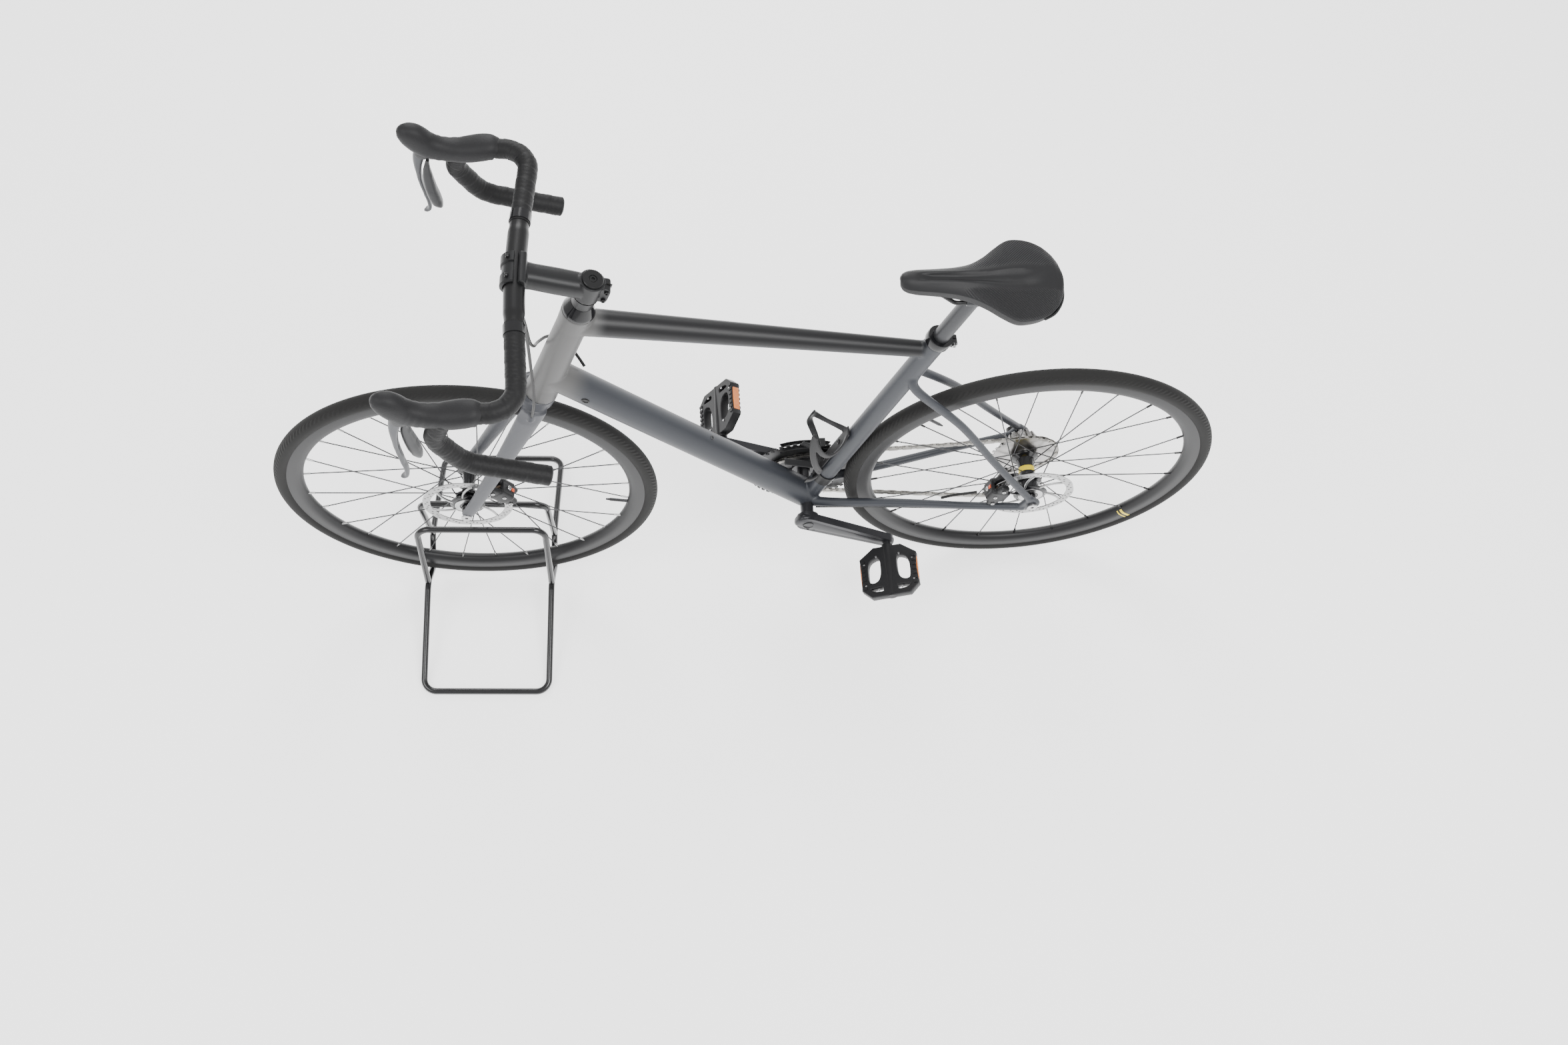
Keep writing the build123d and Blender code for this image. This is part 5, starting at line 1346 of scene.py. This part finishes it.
SADDLE_TABLE = (
    # distance forward, half width, top height, drop to the edge, skirt
    (60, 14, 620, 5, 7), (64, 30, 622, 7, 9), (72, 45, 624.5, 9, 11), (86, 60, 626.5, 10, 13),
    (104, 70, 628, 10.5, 15), (124, 74, 629, 11, 17), (140, 72.5, 629.5, 12, 18), (158, 61, 630, 13, 18),
    (178, 45, 630.5, 14, 17), (200, 32, 631.5, 14, 16), (225, 25, 633, 13, 15), (255, 21.5, 635, 12.5, 14),
    (285, 19.5, 636.5, 12, 13), (300, 17, 636.5, 11.5, 11), (308, 12.5, 635, 10, 9), (312, 6, 631.5, 6, 6),
)
SADDLE_COLUMNS, SADDLE_ROWS = 33, 96
CHANNEL_DEPTH, LIP_HEIGHT, LIP_WIDTH = 5.0, 1.1, 3.2
SKIRT = ((1.0, 0.35, 0), (0.985, 0.75, 0), (0.95, 1.0, 0), (0.86, 1.0, 1.2))


def saddle_row(x):
    """One section across the saddle, and how far each of its points is on a wing's ridges."""
    half, top, drop, skirt = between(SADDLE_TABLE, x)
    channel = soft_step(x, 88, 128) * (1 - soft_step(x, 262, 292))
    gap = 7.0 + 5.5 * (1 - soft_step(x, 120, 230))
    ring, wing = [], []
    for k in range(SADDLE_COLUMNS):
        v = math.sin((2 * k / (SADDLE_COLUMNS - 1) - 1) * math.pi / 2)
        y = half * v
        z = top - drop * abs(v) ** 2.4
        dent = (1 - soft_step(abs(y), gap * 0.45, gap)) * CHANNEL_DEPTH * channel
        lip = math.exp(-((abs(y) - gap * 1.25) / LIP_WIDTH) ** 2) * LIP_HEIGHT * channel
        ring.append(Vector((x, y, z - dent + lip)))
        inboard = soft_step(abs(y), gap + 9, gap + 13) * soft_step(half, 26, 34)
        wing.append(inboard * (1 - soft_step(abs(v), 0.93, 0.98)))
    edge = top - drop
    under = [(half * share, edge - skirt * fall + lift) for share, fall, lift in SKIRT]
    under.append((half * 0.5, edge - skirt + 5))
    ring += [Vector((x, y, z)) for y, z in under]
    ring += [Vector((x, -y, z)) for y, z in reversed(under)]
    wing += [0.0] * 2 * len(under)
    return ring, wing


def saddle_mesh():
    """The padded shell: crowned wings, a long nose and a relief channel with raised lips."""
    start, end = SADDLE_TABLE[0][0], SADDLE_TABLE[-1][0]
    rings, wings = [], []
    for row in range(SADDLE_ROWS + 1):
        t = row / SADDLE_ROWS
        eased = 0.35 * (0.5 - 0.5 * math.cos(math.pi * t)) + 0.65 * t
        ring, wing = saddle_row(start + (end - start) * eased)
        rings.append(ring)
        wings += wing
    mesh = rings_mesh("saddle", rings)
    store(mesh, "wing", wings)
    return mesh


TRIM_HALF = ((96, 66.5, 611), (80, 56.5, 609.5), (68, 40, 607.5), (61.5, 22, 605.5), (60, 0, 604.5))
POST_HEAD = 698


def build_saddle():
    """The padded cover, the glossy trim round its tail and the bolts under it."""
    pad = show("saddle_pad", saddle_mesh(), BIKE, SADDLE_SKIN, "saddle", ("saddle_cover",),
               subdivide=1)
    rear = list(TRIM_HALF) + [(x, -y, z) for x, y, z in reversed(TRIM_HALF[:-1])]
    table = [(float(i), *spot) for i, spot in enumerate(rear)]
    path = [Vector(between(table, i * (len(rear) - 1) / 60)) for i in range(61)]
    trim = sweep("trim", path, 2.4, 16, rounded_ends=2.0)
    show("saddle_trim", trim, BIKE, GLOSS_BLACK, "saddle", ())
    head = on_seat(POST_HEAD)
    bolts = [bolt((head.x + x, 0, head.z - 9), (lean, 0, -0.9), 5.0, 5.0, 2.6) for x,
             lean in ((-16, -0.5), (22, 0.5))]
    show("post_bolts", merged("bolts", bolts), BIKE, SATIN_BLACK, "saddle", ())


# --- Bottle cage and small fittings -------------------------------------------------------------

def strap(path, half_width, half_thickness, outward):
    """A flat band along a path: its wide faces look along outward(point)."""
    rings = []
    for i, point in enumerate(path):
        tangent = (path[min(i + 1, len(path) - 1)] - path[max(i - 1, 0)]).normalized()
        face = outward(point)
        face = (face - tangent * face.dot(tangent)).normalized()
        rings.append(ellipse(point, tangent.cross(face), face, half_width, half_thickness, 20, 4.0))
    return rings_mesh("strap", rings)


CAGE_MIDDLE, CAGE_RADIUS = 59.0, 38.2
CAGE_FOOT = 105
CAGE_SCREWS = (133, 197)


def on_cage(degrees, height, radius=CAGE_RADIUS):
    """A point on the bottle's surface, in the seat tube's frame; 180 degrees is at the tube."""
    x, y = polar(radius, degrees)
    return Vector((CAGE_MIDDLE + x, y, height))


def away_from_bottle(point):
    """The direction a strap's flat side faces."""
    return Vector((point.x - CAGE_MIDDLE, point.y, 0)).normalized()


def build_bottle_cage():
    """Open composite cage: a spine, a foot, a low hoop and two arms that rise to a top hoop."""
    spine = [Vector((21.0, 0, z)) for z in (106, 130, 160, 190, 222, 240)]
    hoop = [on_cage(96 + 168 * k / 40, 112) for k in range(41)]
    parts = [strap(spine, 10, 1.8, lambda point: -Vector(X)), strap(hoop, 6.5, 1.8, away_from_bottle)]
    for side in (1, -1):
        upper, lower = [], []
        for k in range(41):
            t = k / 40
            upper.append(on_cage(side * (180 - 140 * t), 236 - 34 * math.sin(math.pi * t) + 6 * t))
            lower.append(on_cage(side * (40 + 118 * (1 - t) ** 1.5), 112 + 134 * t))
        parts.append(strap(upper, 6.0, 1.9, away_from_bottle))
        parts.append(strap(lower, 6.4, 1.9, away_from_bottle))
    rear, front = on_cage(180, CAGE_FOOT, 30), on_cage(0, CAGE_FOOT, 30)
    parts.append(strap([rear.lerp(front, k / 6) for k in range(7)], 7, 1.8, lambda point: Vector(Z)))
    mesh = fused("cage", parts, 1.3, 3)
    show("cage_frame", mesh, SEAT, PLASTIC, "frame", ("bottle_cage",))
    screws = [bolt((22.4, 0, z), X, 4.4, 2.4, 2.2) for z in CAGE_SCREWS]
    show("cage_screws", merged("screws", screws), SEAT, DARK_STEEL, "frame", ())


COLLAR_HEIGHT = 554.6
COLLAR_PROFILE = [(17.95, 547), (21.0, 547), (21.4, 548), (21.4, 561), (20.6, 562.6), (14.2, 562.6),
                  (13.8, 562.0), (13.8, 560.3), (17.95, 560.3)]
PORT_SECTIONS = ((24.6, 8.5, 5.5), (26.9, 8.0, 5.0), (27.2, 6.0, 3.4), (26.0, 5.0, 2.6))


def build_fittings():
    """Boss screws, cable port and the seat collar with its bolt."""
    run, up = down_tube_axes()
    screws = [bolt(Vector((x, 0, z)) + up * 4.6, up, 4.4, 2.4, 2.2) for x, z in BOSSES]
    show("boss_screws", merged("screws", screws), BIKE, DARK_STEEL, "frame", ())
    port = [ellipse((796, y, 342), run, up, w, h, 28) for y, w, h in PORT_SECTIONS]
    show("tube_port", rings_mesh("port", port), BIKE, HOSE_BLACK, "frame", ())
    parts = [moved(lathe("collar", COLLAR_PROFILE, 72), UPRIGHT)]
    for sections in ((-8, -7.4, -1), (1, 7.4, 8)):
        lug = [ellipse((-24.5, y, COLLAR_HEIGHT), X, Z, 6.0, 7.0, 28, 3.5) for y in sections]
        parts.append(rings_mesh("lug", lug))
    collar = merged("collar", parts)
    show("seat_collar", collar, SEAT, GLOSS_BLACK, "frame", ("seat_clamp",))
    pinch = bolt((-26, 8, COLLAR_HEIGHT), Y, 3.6, 3.2, 2.0)
    show("seat_bolt", pinch, SEAT, SILVER, "frame", ())


def dress_nodes():
    """Materials for the CAD nodes that keep their own shape."""
    dress(STAND_PAINT, "stand_base", "stand_hoops")
    dress(GLOSS_BLACK, "front_hub", "rear_hub")
    dress(POST_GREY, "seatpost")
    dress(SATIN_BLACK, "saddle_rails", "front_derailleur_clamp", "front_derailleur_cage",
          "derailleur_upper_knuckle", "derailleur_lower_knuckle", "derailleur_cage")
    dress(PLASTIC, "guide_pulley", "tension_pulley")
    dress(SILVER, "front_axle", "rear_axle")
    dress(COG_STEEL, "cassette")
    dress(CHAIN_STEEL, "chain")
    dress(CRANK_GREY, "crank_left", "crank_right")
    dress(DARK_STEEL, "chainrings")
    dress(PAD_BRONZE, "front_pad_outer", "front_pad_inner", "rear_pad_outer", "rear_pad_inner")


add_camera()
add_stage()
dress_nodes()
build_frame()
build_fork()
build_headset()
build_stem()
build_bar()
build_hoods()
build_levers()
build_hoses()
for wheel_name in WHEELS:
    build_wheel(wheel_name)
build_marks()
build_axle_ends()
build_calipers()
build_cranks()
build_pedals()
build_saddle()
build_bottle_cage()
build_fittings()
